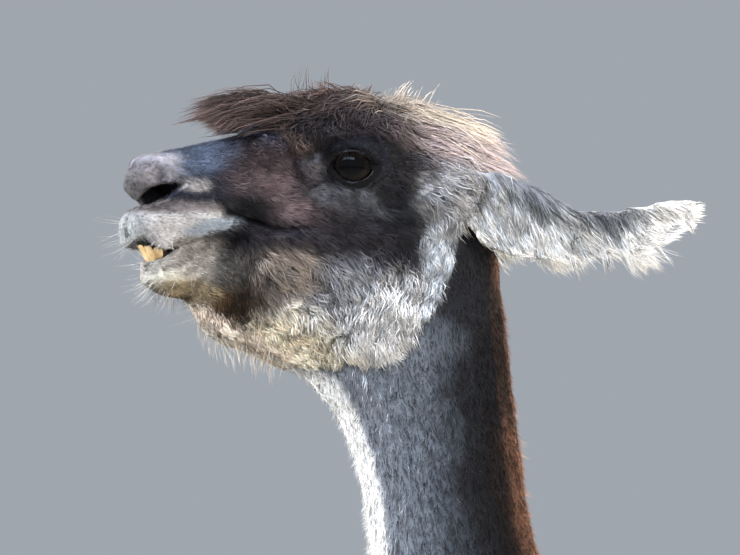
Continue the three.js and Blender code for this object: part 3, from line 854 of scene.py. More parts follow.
@dataclass
class Hide:
    """The skin: every flesh node as one closed surface, smoothed, sunk by the coat's depth and sculpted."""

    anatomy: Anatomy
    grow: float = 0.5 * MM
    cell: float = 15.0 * MM
    rounds: int = 8
    sink_steps: int = 6
    face_from_mm: float = 84.0
    eye_ring_mm: float = 32.0
    slit_mm: tuple[float, float] = (17.0, 13.4)
    lid_mm: float = 2.2
    tuck_mm: float = 3.0
    thin_share: float = 0.26

    def gathered(self) -> tuple[np.ndarray, np.ndarray, np.ndarray]:
        """Joins the flesh nodes' triangles, each node grown a little so that they overlap.

        Returns:
            The corners, the triangles and the number in FLESH of each triangle's node.
        """
        points, faces, owners, total = [], [], [], 0
        for number, name in enumerate(FLESH):
            made = bmesh.new()
            made.from_mesh(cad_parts[name].data)
            bmesh.ops.remove_doubles(made, verts=made.verts, dist=1e-5)
            bmesh.ops.triangulate(made, faces=made.faces)
            made.normal_update()
            points.append(np.array([vert.co + vert.normal * self.grow for vert in made.verts]))
            faces.append(np.array([[vert.index for vert in face.verts] for face in made.faces]) + total)
            owners.append(np.full(len(made.faces), number))
            total += len(made.verts)
            made.free()
        return np.concatenate(points), np.concatenate(faces), np.concatenate(owners)

    def remeshed(self, points: np.ndarray, faces: np.ndarray) -> bpy.types.Object:
        """Makes one even surface over the gathered nodes, finest on the head.

        Args:
            points: The gathered corners.
            faces: Their triangles.

        Returns:
            The surface as an object.
        """
        anatomy = self.anatomy
        stretch = Stretch(anatomy.trunk[1][2], anatomy.head[0][2], anatomy.eye[0])
        made = make_mesh("skin", stretch.out(points), faces)
        modifier = made.modifiers.new("even", "REMESH")
        modifier.mode = "VOXEL"
        modifier.voxel_size = self.cell
        evaluated(made)
        set_corners(made.data, stretch.back(corners(made.data)))
        return made

    def refine(self, made: bpy.types.Object) -> None:
        """Halves the mesh's edges on the face and again round the eyes, and leaves only triangles.

        Args:
            made: The skin.
        """
        shape = bmesh.new()
        shape.from_mesh(made.data)
        bmesh.ops.triangulate(shape, faces=shape.faces)
        eye = self.anatomy.eye
        for ring_mm, face_from_mm in ((self.eye_ring_mm, self.face_from_mm), (self.eye_ring_mm * 0.72, 1e9)):
            chosen = set()
            for edge in shape.edges:
                x, y, z = edge.verts[0].co
                near = math.dist((x, abs(y), z), (eye[0], self.anatomy.eyes[Side.RIGHT][1], eye[2]))
                if near < ring_mm * MM or (eye[0] - x > face_from_mm * MM and z > self.anatomy.head[0][2]):
                    chosen.add(edge)
            bmesh.ops.subdivide_edges(shape, edges=list(chosen), cuts=1, smooth=0.0)
            bmesh.ops.triangulate(shape, faces=shape.faces)
        shape.to_mesh(made.data)
        shape.free()

    def parts(self, points: np.ndarray, gathered: tuple) -> np.ndarray:
        """Finds the part of the body that each corner belongs to.

        Args:
            points: The skin's corners.
            gathered: The flesh nodes' corners, triangles and owners.

        Returns:
            Part numbers.
        """
        kinds = []
        for name in FLESH:
            kind = next((kind for ending, kind in PART_ENDINGS.items() if name.endswith(ending)), Part.EAR)
            kinds.append(kind.value)
        tree = BVHTree.FromPolygons(gathered[0].tolist(), gathered[1].tolist())
        owners = np.array([tree.find_nearest(point)[2] for point in points.tolist()])
        return np.array(kinds)[gathered[2][owners]]

    def shallow(
        self, points: np.ndarray, normal: np.ndarray, faces: np.ndarray, depth: np.ndarray
    ) -> np.ndarray:
        """Keeps the coat's depth under a share of what lies beneath it, so that thin places stay whole.

        Args:
            points: The skin's corners.
            normal: Their normals.
            faces: The triangles.
            depth: The wanted depth in millimetres.

        Returns:
            The depth that fits.
        """
        tree = BVHTree.FromPolygons(points.tolist(), faces.tolist())
        fitting = depth.copy()
        aside = unit(np.cross(normal, (0.3, 1.0, 0.2)))
        beside = np.cross(normal, aside)
        tilts = [(0, 0), (1.1, 0), (-1.1, 0), (0, 1.1), (0, -1.1)]
        ways = np.stack([unit(-normal + aside * x + beside * y) for x, y in tilts], axis=1)
        starts = points - normal * 0.4 * MM
        for i in np.where(depth[:, 0] > 1.0)[0]:
            start, most = Vector(starts[i]), depth[i, 0]
            for way in ways[i]:
                reach = tree.ray_cast(start, Vector(way), 0.08)[3]
                if reach is not None:
                    most = min(most, self.thin_share * reach / MM)
            fitting[i] = most
        return fitting

    def nudged(self, points: np.ndarray) -> np.ndarray:
        """Moves the skin by every nudge.

        Args:
            points: The skin's corners.

        Returns:
            The moved corners.
        """
        side = np.where(points[:, 1] < 0, -1.0, 1.0)[:, None] * (0, 1, 0) + (1, 0, 1)
        moved = points.copy()
        for nudge in NUDGES:
            ahead, above, out = nudge.move_mm
            gap = np.linalg.norm(points * side - self.anatomy.from_head_mm(*nudge.at_mm), axis=1)
            share = (1 - smooth(gap / (nudge.reach_mm * MM), 0.0, 1.0)) * (nudge.side * side[:, 1] >= 0)
            moved += share[:, None] * side * np.array([-ahead, out, above]) * MM
        return moved

    def sculpt(self, points: np.ndarray, normal: np.ndarray, tree: BVHTree) -> tuple[np.ndarray, np.ndarray]:
        """Draws the strokes.

        Args:
            points: The skin's corners.
            normal: Their normals.
            tree: The skin, for casting.

        Returns:
            The moved corners and the painted shade of each, from 0 to 1, in the nostril and along the
            darkened grooves.
        """
        moved, dark = points.copy(), np.zeros(len(points))
        mirrored = points * (1, 0, 1) + np.abs(points) * (0, 1, 0)
        side = np.where(points[:, 1] < 0, -1.0, 1.0)[:, None]
        for stroke in STROKES:
            spine = []
            for ahead, above in stroke.places:
                start = self.anatomy.from_head_mm(*((400, above, 0) if stroke.front else (ahead, above, 300)))
                hit = tree.ray_cast(start, (1, 0, 0) if stroke.front else (0, -1, 0))[0]
                spine.append(np.array(hit) if hit else start * (1, 0, 1))
            spine, count = np.array(spine), 10
            marks = np.linspace(0, len(spine) - 1, count * (len(spine) - 1) + 1)
            base = np.arange(len(spine))
            track = np.stack([np.interp(marks, base, spine[:, i]) for i in range(3)], axis=1)
            reach = np.interp(marks, base, stroke.reach_mm) * MM
            deep = np.interp(marks, base, stroke.deep_mm) * MM
            near = np.where(np.linalg.norm(mirrored - track.mean(axis=0), axis=1) < 0.12)[0]
            gap = np.linalg.norm(mirrored[near, None] - track[None], axis=2) / reach
            best = gap.argmin(axis=1)
            share = 1 - smooth(gap[np.arange(len(near)), best], stroke.steep, 1.0)
            way = -normal[near]
            middle = np.array([0.35, -0.9, 0.1]) * np.where(side[near] < 0, (1, -1, 1), (1, 1, 1))
            way = unit(way + stroke.inward * (middle - way))
            moved[near] += way * (share * deep[best])[:, None]
            # A groove's floor is painted dark here, as painted shade that the skin's colour later takes in.
            if stroke.inward or stroke.painted_shade:
                full = share * np.minimum(deep[best] / (8 * MM), 1)
                dark[near] = np.maximum(dark[near], full * (stroke.painted_shade or 1.0))
        return moved, dark

    def lining(self, points: np.ndarray, normal: np.ndarray) -> np.ndarray:
        """Finds the bare lining of the mouth, where the lips face each other.

        Args:
            points: The skin's corners.
            normal: Their normals.

        Returns:
            From 0 to 1, how far inside each corner is.
        """
        ahead, above, _ = self.anatomy.head_mm(points)
        here = band(ahead, 120, 128, 176, 184) * band(above, -84, -80, -64, -60)
        return here * smooth(np.abs(normal[:, 2]), 0.7, 0.9)

    def eyelids(self, points: np.ndarray) -> tuple[np.ndarray, np.ndarray, np.ndarray]:
        """Opens the skin over each eye to an almond, its rim laid on the ball.

        Args:
            points: The skin's corners.

        Returns:
            The moved corners, how near each is to a rim, from 0 to 1, and how far each may be smoothed.
        """
        moved, rim = points.copy(), np.zeros(len(points))
        loose = np.zeros((len(points), 1))
        for side in Side:
            gaze = Gaze(self.anatomy, side)
            near = np.where(np.linalg.norm(points - gaze.centre, axis=1) < self.eye_ring_mm * MM)[0]
            away = points[near] - gaze.centre
            distance = np.linalg.norm(away, axis=1)
            way = away / distance[:, None]
            aside, up, ahead = (way @ axis for axis in (gaze.across, gaze.up, gaze.look))
            size = self.anatomy.eye_radius
            outside = gaze.outside_mm(aside * size / MM, up * size / MM, self.slit_mm)
            inner, outer = size - self.tuck_mm * MM, size + self.lid_mm * MM
            wanted = inner + (outer - inner) * smooth(outside, -2.2, 0.9)
            wanted += (0.9 + 1.8 * smooth(up, 0.1, 0.45)) * MM * smooth(outside, 1.0, 7.0)
            hold = smooth(ahead, 0.15, 0.5) * (1 - smooth(outside, 2.5, 14.0))
            hold = np.where(outside < 0, smooth(ahead, 0.05, 0.3), hold)
            moved[near] = gaze.centre + way * (distance + hold * (wanted - distance))[:, None]
            inside_ring = 1 - smooth(distance / MM, 0.85 * self.eye_ring_mm, self.eye_ring_mm)
            loose[near, 0] = smooth(outside, 3.0, 7.0) * inside_ring
            rim[near] = np.maximum(rim[near], (1 - smooth(outside, 1.8, 6.5)) * smooth(ahead, 0.1, 0.4))
        return moved, rim, loose

    def build(self, markings: Markings) -> "Skin":
        """Makes the skin.

        Args:
            markings: What paints it.

        Returns:
            The skin with what the coat needs to know of it.
        """
        gathered = self.gathered()
        made = self.remeshed(gathered[0], gathered[1])
        self.refine(made)
        mesh = made.data
        faces = loops_of(mesh)
        pairs = read(mesh.edges, "vertices", 2, np.int32)
        points = corners(mesh)
        parts = self.parts(points, gathered)
        log.info("skin: %d triangles, parts found", len(faces))
        points = relaxed(points, pairs, self.rounds)
        ears = (parts == Part.EAR.value)[:, None].astype(float)
        points = relaxed(points, pairs, self.rounds, ears)
        hull = points
        traits = markings.paint(points, facing(points, faces), parts, pairs)
        traits.depth = self.shallow(points, facing(points, faces), faces, traits.depth)
        ahead, above, _ = self.anatomy.head_mm(points)
        keel = smooth(ahead, 25, 60) * smooth(-above, 80, 98)
        traits.depth = blurred(traits.depth * (1 - 0.85 * keel[:, None]), pairs, 6)
        for _ in range(self.sink_steps):
            inward = -blurred(facing(points, faces), pairs, 2)
            points = points + unit(inward) * traits.depth * (MM / self.sink_steps)
            points = relaxed(points, pairs, 2)
        points = self.nudged(points)
        tree = BVHTree.FromPolygons(points.tolist(), faces.tolist())
        points, dark = self.sculpt(points, facing(points, faces), tree)
        inside = self.lining(points, facing(points, faces))
        # The mouth's lining is painted dark too, as shade between the lips.
        dark = np.maximum(dark, 0.9 * inside)
        points, rim, loose = self.eyelids(points)
        points = relaxed(points, pairs, 6, loose)
        set_corners(mesh, points)
        return Skin(made, points, faces, pairs, facing(points, faces), parts, traits, hull, dark, rim)


# The opening between the lids: the upper and the lower lid's height as shares of half the opening's,
# the power of its outline, from a rhombus at 1 to an oval at 2, and how steeply its corners slant.
LIDS = (0.84, 1.0)
LID_POWER = 1.75
LID_SLANT = 0.06


@dataclass
class Gaze:
    """Where an eye looks, and the almond between its lids."""

    anatomy: Anatomy
    side: Side
    forward: float = 0.36
    down: float = 0.06

    def __post_init__(self) -> None:
        """Works out the eye's axes."""
        self.centre = self.anatomy.eyes[self.side]
        self.look = unit(np.array([-self.forward, self.side.value, -self.down]))
        self.across = unit(np.cross((0, 0, 1), self.look)) * self.side.value
        self.up = unit(np.array([0, 0, 1.0]) - self.look * self.look[2])
        self.axes = np.stack([self.across, self.up, self.look])

    def rim_place(
        self, turn: float, slit_mm: tuple[float, float], size_mm: float, past_mm: float
    ) -> np.ndarray:
        """Finds a place on the rim of the lids.

        Args:
            turn: How far round, from the nose side up and over.
            slit_mm: Half the almond's length and height.
            size_mm: The ball's radius.
            past_mm: How far outside the rim.

        Returns:
            The place.
        """
        long, high = slit_mm
        aside = (long + past_mm) * math.copysign(abs(math.cos(turn)) ** (2 / LID_POWER), math.cos(turn))
        up = (high + past_mm) * math.sin(turn) * LIDS[turn >= math.pi] + LID_SLANT * aside
        size = size_mm + 0.8
        ahead = math.sqrt(max(size**2 - aside**2 - up**2, 1.0))
        return self.centre + (self.across * aside + self.up * up + self.look * ahead) * MM

    def outside_mm(self, aside: np.ndarray, up: np.ndarray, slit_mm: tuple[float, float]) -> np.ndarray:
        """Measures how far a place on the ball is past the rim of the lids.

        Args:
            aside: Millimetres toward the nose from the gaze.
            up: Millimetres up from it.
            slit_mm: Half the almond's length and height.

        Returns:
            Millimetres, negative in the opening.
        """
        long, high = slit_mm
        lifted = up - LID_SLANT * aside
        high = high * np.where(lifted > 0, *LIDS)
        ratio = np.sqrt(np.abs(aside / long) ** LID_POWER + np.abs(lifted / high) ** 2)
        return (ratio - 1) * (long + high) / 2


@dataclass
class Skin:
    """The finished skin, and what the coat reads from it."""

    made: bpy.types.Object
    points: np.ndarray
    faces: np.ndarray
    pairs: np.ndarray
    normal: np.ndarray
    parts: np.ndarray
    traits: Traits
    hull: np.ndarray
    # dark is the painted shade in the nostrils, the grooves and the mouth's line, from 0 to 1.
    dark: np.ndarray
    rim: np.ndarray

    def unwrap(self) -> None:
        """Unwraps the skin's own shape and keeps the map's corners."""
        made = self.made
        made.data.uv_layers.new(name=BAKE_MAP)
        bpy.context.view_layer.objects.active = made
        made.select_set(True)
        bpy.ops.object.mode_set(mode="EDIT")
        bpy.ops.mesh.select_all(action="SELECT")
        bpy.ops.uv.smart_project(angle_limit=math.radians(66), island_margin=0.002)
        bpy.ops.object.mode_set(mode="OBJECT")
        self.map = read(made.data.uv_layers[BAKE_MAP].uv, "vector", 2).reshape(-1, 3, 2).astype(float)

    def dress(self) -> None:
        """Paints the skin with the coat's markings, its nostrils, folds and mouth's line nearly black as
        painted shade, and its lid rims nearly black.
        """
        colour = mix(self.traits.root, self.traits.tip, 0.55)
        colour = mix(colour, linear("0d0c0e"), self.dark[:, None])
        colour = mix(colour, linear("0c0b0c"), (smooth(self.rim, 0.1, 0.8) * 0.95)[:, None])
        paint(self.made, colour)

    def around(self, most: int = 9) -> np.ndarray:
        """Lists each corner's neighbours, up to a number, in rows filled up with the corner itself."""
        both = np.concatenate([self.pairs, self.pairs[:, ::-1]])
        both = both[np.argsort(both[:, 0], kind="stable")]
        start = np.searchsorted(both[:, 0], np.arange(len(self.points)))
        rank = np.arange(len(both)) - start[both[:, 0]]
        table = np.tile(np.arange(len(self.points))[:, None], (1, most))
        kept = rank < most
        table[both[kept, 0], rank[kept]] = both[kept, 1]
        return table


# ---- The coat ----
# How far a lock's root is sunk in the skin, and a prime that keeps the clumps' numbers apart.
ROOT_SUNK = 0.6 * MM
CLUMP_PRIME = 7919


@dataclass(frozen=True)
class Wool:
    """One piece of the coat: how many locks, and how they stand on the skin.

    joints is how many lengths a lock has, lift how high its tip stands as a share of the coat's depth,
    stray how far its way wanders in radians, clump_mm and gather how it draws together with its
    neighbours, and long and wide multiply the skin's own measures. ridge is how far the coat's low relief
    lifts the locks, and paints them lighter on its ridges and darker in its hollows, as painted light and
    shade.
    """

    name: str
    zone: str
    count: int
    joints: int = 2
    lift: tuple[float, float] = (0.5, 1.0)
    stray: float = 0.22
    clump_mm: tuple[float, float, float] = (6.0, 6.0, 6.0)
    gather: float = 0.45
    long: float = 1.0
    wide: float = 1.0
    curl: float = 0.0
    free: tuple | None = None
    cling: float = 1.0
    ridge: float = 0.12
    bright: float = 0.1
    seed: int = 1


PIECES = (
    Wool(
        "muzzle_hair", "muzzle", 34000, 1, (0.5, 1.3), 0.16, (5, 3, 3), 0.4, wide=0.72, bright=0.3,
        ridge=0.42, seed=1
    ),
    Wool(
        "face_left_hair", "face_left", 34000, 1, (0.35, 1.1), 0.18, (9, 4, 4), 0.45, wide=0.72,
        bright=0.36, ridge=0.62, seed=2
    ),
    Wool(
        "face_right_hair", "face_right", 29000, 1, (0.35, 1.1), 0.18, (9, 4, 4), 0.45, wide=0.78,
        bright=0.36, ridge=0.62, seed=3
    ),
    Wool(
        "crown_wool", "crown", 8200, 3, (0.25, 1.1), 0.34, (9, 8, 8), 0.68, wide=0.7, curl=0.5,
        bright=0.34, ridge=0.7, seed=4
    ),
    Wool(
        "crown_back_wool", "crown_back", 4200, 3, (0.25, 1.05), 0.14, (16, 7, 7), 0.7, 1.1, 0.7, curl=0.12,
        bright=0.2, ridge=0.35, seed=20
    ),
    Wool(
        "jaw_left_wool", "jaw_left", 14500, 2, (0.3, 1.1), 0.26, (8, 8, 11), 0.7, wide=0.6, curl=0.4,
        cling=0.35, bright=0.22, ridge=0.5, seed=5
    ),
    Wool(
        "jaw_right_wool", "jaw_right", 11000, 2, (0.3, 1.1), 0.26, (8, 8, 11), 0.7, wide=0.7, curl=0.4,
        cling=0.35, bright=0.22, ridge=0.5, seed=6
    ),
    Wool(
        "ear_left_hair", "ear_left", 7000, 2, (0.6, 2.4), 0.12, (7, 4, 7), 0.75, wide=0.75, cling=0.4,
        bright=0.28, ridge=0.6, seed=7
    ),
    Wool(
        "ear_right_hair", "ear_right", 5500, 2, (0.6, 2.4), 0.12, (7, 4, 7), 0.75, wide=0.85, cling=0.4,
        bright=0.28, ridge=0.6, seed=8
    ),
    Wool(
        "ear_fringe", "fringe", 1100, 3, (1, 1), 0.2, (8, 8, 8), 0.6, 1.55, 0.42,
        free=((0.35, 0.05, -0.95), (0.85, 0.0, -0.6)), seed=9
    ),
    Wool(
        "ear_tips", "ear_tip", 1200, 3, (1, 1), 0.2, (6, 6, 6), 0.5, 0.9, 0.6,
        free=((0.9, 0.0, 0.45), (1.0, 0.0, -0.15)), seed=10
    ),
    Wool(
        "neck_wool", "neck", 42000, 1, (0.5, 1.9), 0.15, (3.2, 3.2, 14), 0.5, wide=0.85, ridge=1.2,
        bright=0.3, seed=11
    ),
    Wool("trunk_wool", "trunk", 13000, 2, (0.5, 1.0), 0.3, (20, 20, 20), 0.5, wide=1.1, curl=0.3, seed=12),
    Wool("leg_hair", "legs", 7500, 2, (0.5, 1.0), 0.2, (10, 10, 10), 0.35, seed=13),
    Wool("tail_wool", "tail", 2000, 3, (0.5, 1.0), 0.25, (18, 18, 18), 0.5, seed=14),
    Wool(
        "forelock_hair", "forelock", 1900, 4, (1, 1), 0.34, (14, 9, 9), 0.78, 2.5, 0.65, curl=0.3,
        free=((-0.9, 0.05, 0.62), (-0.98, 0.0, -0.3)), bright=0.35, ridge=0.75, seed=15
    ),
    Wool(
        "beard", "beard", 300, 3, (1, 1), 0.5, (10, 10, 10), 0.75, 1.5, 0.26, bright=0.2,
        free=((0.0, 0.1, -1.0), (0.15, 0.0, -1.0)), seed=16
    ),
    Wool(
        "crown_wisps", "wisps", 260, 3, (1, 1), 0.5, (9, 9, 9), 0.75, 0.62, 0.4,
        free=((-0.1, 0.1, 1.0), (0.6, 0.1, 0.7)), seed=17
    ),
    Wool(
        "back_locks", "back", 1000, 4, (1, 1), 0.25, (10, 10, 10), 0.6, 1.45, 0.6,
        free=((0.95, 0.15, 0.05), (0.9, 0.22, -0.5)), seed=18
    ),
    Wool(
        "brow_spikes", "spikes", 26, 4, (1, 1), 0.7, (14, 14, 14), 0.7, 1.15, 0.34,
        free=((-0.25, 0.05, 1.0), (0.15, 0.0, 1.0)), seed=21
    ),
    Wool(
        "nape_tuft", "nape", 300, 3, (1, 1), 0.3, (9, 9, 9), 0.5, 1.6, 0.6,
        free=((0.6, 0.3, -0.9), (0.2, 0.0, -1.0)), seed=19
    ),
)


@dataclass
class Locks:
    """The locks of one piece, each rooted in a triangle of the skin at a place given as three shares."""

    wool: Wool
    skin: Skin
    rng: np.random.Generator
    chosen: np.ndarray
    shares: np.ndarray

    def __post_init__(self) -> None:
        """Finds the roots."""
        self.rows = self.skin.faces[self.chosen]
        self.root = self.at_roots(self.skin.points)
        self.normal = unit(self.at_roots(self.skin.normal))
        self.start = self.rows[np.arange(len(self.rows)), self.shares.argmax(axis=1)]
        # The share of a lock's length at each corner of its rings and at its tip.
        rings = self.wool.joints
        self.part = np.append(np.repeat(np.arange(rings) / rings, 3), 1.0)

    def at_roots(self, values: np.ndarray) -> np.ndarray:
        """Reads the skin's values at the roots."""
        return np.einsum("ij,ijk->ik", self.shares, values[self.rows])

    def between(self, low: float, high: float) -> np.ndarray:
        """Draws a number between two for each lock."""
        return self.rng.uniform(low, high, (len(self.rows), 1))

    def about(self, spread: float) -> np.ndarray:
        """Draws a number about 0 for each lock."""
        return self.rng.normal(0, spread, (len(self.rows), 1))

    def relief(self) -> np.ndarray:
        """Gives the low relief that the locks fall into, from about -1 to 1."""
        cell = np.array(self.wool.clump_mm)
        fine = noise(self.root / (cell / cell[1]), 0.8 * cell[1] * MM, 31)
        return (fine + 0.5 * noise(self.root, 9 * MM, 32))[:, None]

    def free(self, length: np.ndarray, turn: np.ndarray) -> np.ndarray:
        """Leads the locks through the air, from their first way to their last.

        Args:
            length: Each lock's length.
            turn: How far its way wanders.

        Returns:
            The places along each lock.
        """
        wool, skin = self.wool, self.skin
        beside = np.cross(skin.normal[self.start], skin.traits.flow[self.start])
        mirror = np.where(self.root[:, 1:2] < 0, (1.0, -1.0, 1.0), (1.0, 1.0, 1.0))
        first, last = np.array(wool.free, dtype=float)
        path = [self.root - self.normal * ROOT_SUNK]
        for joint in range(1, wool.joints + 1):
            aim = mix(first, last, joint / wool.joints) * mirror
            aim = aim + self.rng.normal(0, 0.1, aim.shape) + 0.9 * np.tan(np.clip(turn, -0.9, 0.9)) * beside
            path.append(path[-1] + unit(aim) * length / wool.joints)
        return np.stack(path, axis=1)

    def drawn(self, path: np.ndarray) -> np.ndarray:
        """Draws neighbouring locks together toward their tips.

        Args:
            path: Places along each lock.

        Returns:
            The places, moved.
        """
        root = path[:, 0]
        cell = np.array(self.wool.clump_mm) * MM
        wander = np.stack([noise(root, 2.5 * cell[1], seed) for seed in (21, 22, 23)], axis=1)
        keys = np.floor(root / cell + wander).astype(np.int64)
        keys = (keys[:, 0] * CLUMP_PRIME + keys[:, 1]) * CLUMP_PRIME + keys[:, 2]
        _, first, group = np.unique(keys, return_index=True, return_inverse=True)
        leader = path[first[group.ravel()]]
        part = np.linspace(0, 1, path.shape[1])[None, :, None] ** 1.5
        pull = self.wool.gather * self.between(0.5, 1.2)[:, None]
        return path + (leader - path) * np.clip(part * pull, 0, 0.95)

    def colours(self) -> np.ndarray:
        """Colours each lock from root to tip, no two quite alike. The darker root is partly painted shade
        deep in the coat, and locks on the relief's ridges are painted lighter and those in its hollows
        darker, as painted light and shade.
        """
        traits = self.skin.traits
        bright = np.exp(self.about(self.wool.bright) + self.wool.ridge * self.relief())
        warm = self.about(0.03) * (1.0, 0.0, -1.0)
        blend = np.clip(self.part[None, :, None] * self.between(0.5, 1.3)[:, None] + 0.12, 0, 1)
        colour = mix(self.at_roots(traits.root)[:, None], self.at_roots(traits.tip)[:, None], blend)
        return np.clip(colour * (bright * (1 + warm))[:, None], 0, 1).reshape(-1, 3)

    def map(self, faces: np.ndarray, patch: float = 0.003, margin: float = 0.02) -> np.ndarray:
        """Maps each lock to a small patch at its root's place on the skin's own unwrap.

        Args:
            faces: One lock's triangles.
            patch: The patch's size on the map.
            margin: The map's empty edge.

        Returns:
            The map's place for every corner of every triangle.
        """
        place = np.einsum("ij,ijk->ik", self.shares, self.skin.map[self.chosen])
        low, high = place.min(axis=0), place.max(axis=0)
        place = margin + (place - low) / np.maximum(high - low, 1e-6) * (1 - 2 * margin)
        rings = self.wool.joints
        across = np.array([0.0, 1.0, 0.5] * rings + [0.5])
        upward = self.part + np.append(np.tile((0, 0, 0.12), rings), 0.0)
        local = (np.stack([across, upward], axis=1) - 0.5) * patch
        return place[:, None] + local[faces.ravel()][None]

    def strands(self, path: np.ndarray, width: np.ndarray) -> bpy.types.Object:
        """Makes each lock a closed, three-sided strand that thins to its tip.

        Args:
            path: Places along each lock.
            width: Each lock's width.

        Returns:
            The piece.
        """
        rings = self.wool.joints
        points = []
        for ring in range(rings):
            tangent = unit(path[:, ring + 1] - path[:, max(ring - 1, 0)])
            beside = unit(np.cross(tangent, self.normal))
            over = np.cross(beside, tangent)
            part = ring / rings
            half = width / 2 * (0.75 + 0.5 * part if part < 0.5 else 1.35 - 0.7 * part)
            points += [path[:, ring] + way * half for way in (-beside, beside, over * 0.8)]
        points.append(path[:, -1])
        faces = [(2, 1, 0)]
        for low, i in itertools.product(range(0, 3 * rings - 3, 3), range(3)):
            a, b = low + i, low + (i + 1) % 3
            faces += [(a, b, b + 3), (a, b + 3, a + 3)]
        last, tip = 3 * rings - 3, 3 * rings
        faces += [(last, last + 1, tip), (last + 1, last + 2, tip), (last + 2, last, tip)]
        faces = np.array(faces)
        every = np.arange(len(path))[:, None, None] * len(points) + faces[None]
        made = make_mesh(self.wool.name, np.stack(points, axis=1).reshape(-1, 3), every.reshape(-1, 3))
        paint(made, self.colours())
        layer = made.data.uv_layers.new(name=BAKE_MAP)
        layer.uv.foreach_set("vector", self.map(faces).astype(np.float32).ravel())
        return made


@dataclass
class Coat:
    """Grows locks on the skin."""

    skin: Skin
    finish: bpy.types.Material
    most_steps: int = 14

    def __post_init__(self) -> None:
        """Lists the skin's neighbours once."""
        self.table = self.skin.around()

    def rooted(self, wool: Wool, weight: np.ndarray) -> Locks:
        """Scatters the roots of one piece's locks.

        Args:
            wool: What the piece is like.
            weight: How densely its locks grow at each corner of the skin.

        Returns:
            The locks.
        """
        rng, count = np.random.default_rng(wool.seed), wool.count
        a, b, c = (self.skin.points[self.skin.faces[:, i]] for i in range(3))
        area = np.linalg.norm(np.cross(b - a, c - a), axis=1)
        total = np.cumsum(area * weight[self.skin.faces].mean(axis=1))
        picks = (np.arange(count) + rng.random(count)) / count * total[-1]
        one, two = np.sqrt(rng.random(count)), rng.random(count)
        shares = np.stack([1 - one, one * (1 - two), one * two], axis=1)
        return Locks(wool, self.skin, rng, np.searchsorted(total, picks), shares)

    def nearest(self, start: np.ndarray, places: np.ndarray) -> np.ndarray:
        """Walks over the skin from corners to the corners nearest to places.

        Args:
            start: Corner numbers to walk from.
            places: Where to.

        Returns:
            The corner numbers reached.
        """
        points, now = self.skin.points, start.copy()
        reached = np.linalg.norm(points[now] - places, axis=1)
        moving = np.arange(len(now))
        for _ in range(self.most_steps):
            options = self.table[now[moving]]
            gaps = np.linalg.norm(points[options] - places[moving, None], axis=2)
            best = gaps.argmin(axis=1)
            gap = gaps[np.arange(len(moving)), best]
            better = gap < reached[moving]
            if not better.any():
                break
            now[moving[better]] = options[np.arange(len(moving)), best][better]
            reached[moving[better]] = gap[better]
            moving = moving[better]
        return now

    def lying(self, locks: Locks, length: np.ndarray, top: np.ndarray, turns: tuple) -> np.ndarray:
        """Leads the locks over the skin, the way that the coat lies.

        Args:
            locks: The locks.
            length: Each one's length.
            top: How high its tip stands.
            turns: How far its way wanders, bends to its tip, and where its curl begins.

        Returns:
            The places along each lock.
        """
        skin, wool, now, place = self.skin, locks.wool, locks.start, locks.root
        turn, bend, curl = turns
        path = [place - locks.normal * ROOT_SUNK]
        for joint in range(1, wool.joints + 1):
            part = joint / wool.joints
            flow = skin.traits.flow[now]
            angle = turn + bend * part + wool.curl * np.sin(curl + 4.0 * part)
            way = flow * np.cos(angle) + np.cross(skin.normal[now], flow) * np.sin(angle)
            place = place + way * length / wool.joints
            now = self.nearest(now, place)
            local = skin.normal[now]
            height = along(place - skin.points[now], local)
            place = place - local * np.where(height > 0, wool.cling, 1.0) * height
            path.append(place + local * top * part**0.7)
        return np.stack(path, axis=1)

    def grow(self, wool: Wool, weight: np.ndarray, nodes: tuple) -> None:
        """Grows one piece of the coat.

        Args:
            wool: What it is like.
            weight: Where it grows.
            nodes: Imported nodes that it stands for.
        """
        locks = self.rooted(wool, weight)
        hair, depth = locks.at_roots(self.skin.traits.hair), locks.at_roots(self.skin.traits.depth)
        length = hair[:, :1] * MM * wool.long * locks.between(0.72, 1.2)
        width = hair[:, 1:] * MM * wool.wide * locks.between(0.75, 1.25)
        top = np.maximum(depth, 1.0) * MM * locks.between(*wool.lift)
        top *= np.exp(0.8 * wool.ridge * locks.relief())
        turn = locks.about(wool.stray) + 0.25 * noise(locks.root, 14 * MM, 11)[:, None]
        curl, bend = locks.between(0, 2 * math.pi), locks.about(0.25)
        if wool.free:
            path = locks.free(length, turn)
        else:
            path = self.lying(locks, length, top, (turn, bend, curl))
        made = locks.strands(locks.drawn(path), width)
        made.data.materials.append(self.finish)
        placed(made, "coat", *nodes)


# ---- Finishes ----
def add_node(
    tree: bpy.types.NodeTree, kind: str, settings: dict | None = None, links: dict | None = None
) -> bpy.types.Node:
    """Adds a node to a tree.

    Args:
        tree: The material's, world's or geometry's tree.
        kind: The node's type.
        settings: Values by property name, or by socket name or number.
        links: Sockets that feed the node's own, by socket name or number.

    Returns:
        The node.
    """
    made = tree.nodes.new(kind)
    for key, value in (settings or {}).items():
        if isinstance(key, str) and hasattr(made, key) and key not in made.inputs:
            setattr(made, key, value)
        else:
            made.inputs[key].default_value = value
    for key, source in (links or {}).items():
        tree.links.new(source, made.inputs[key])
    return made


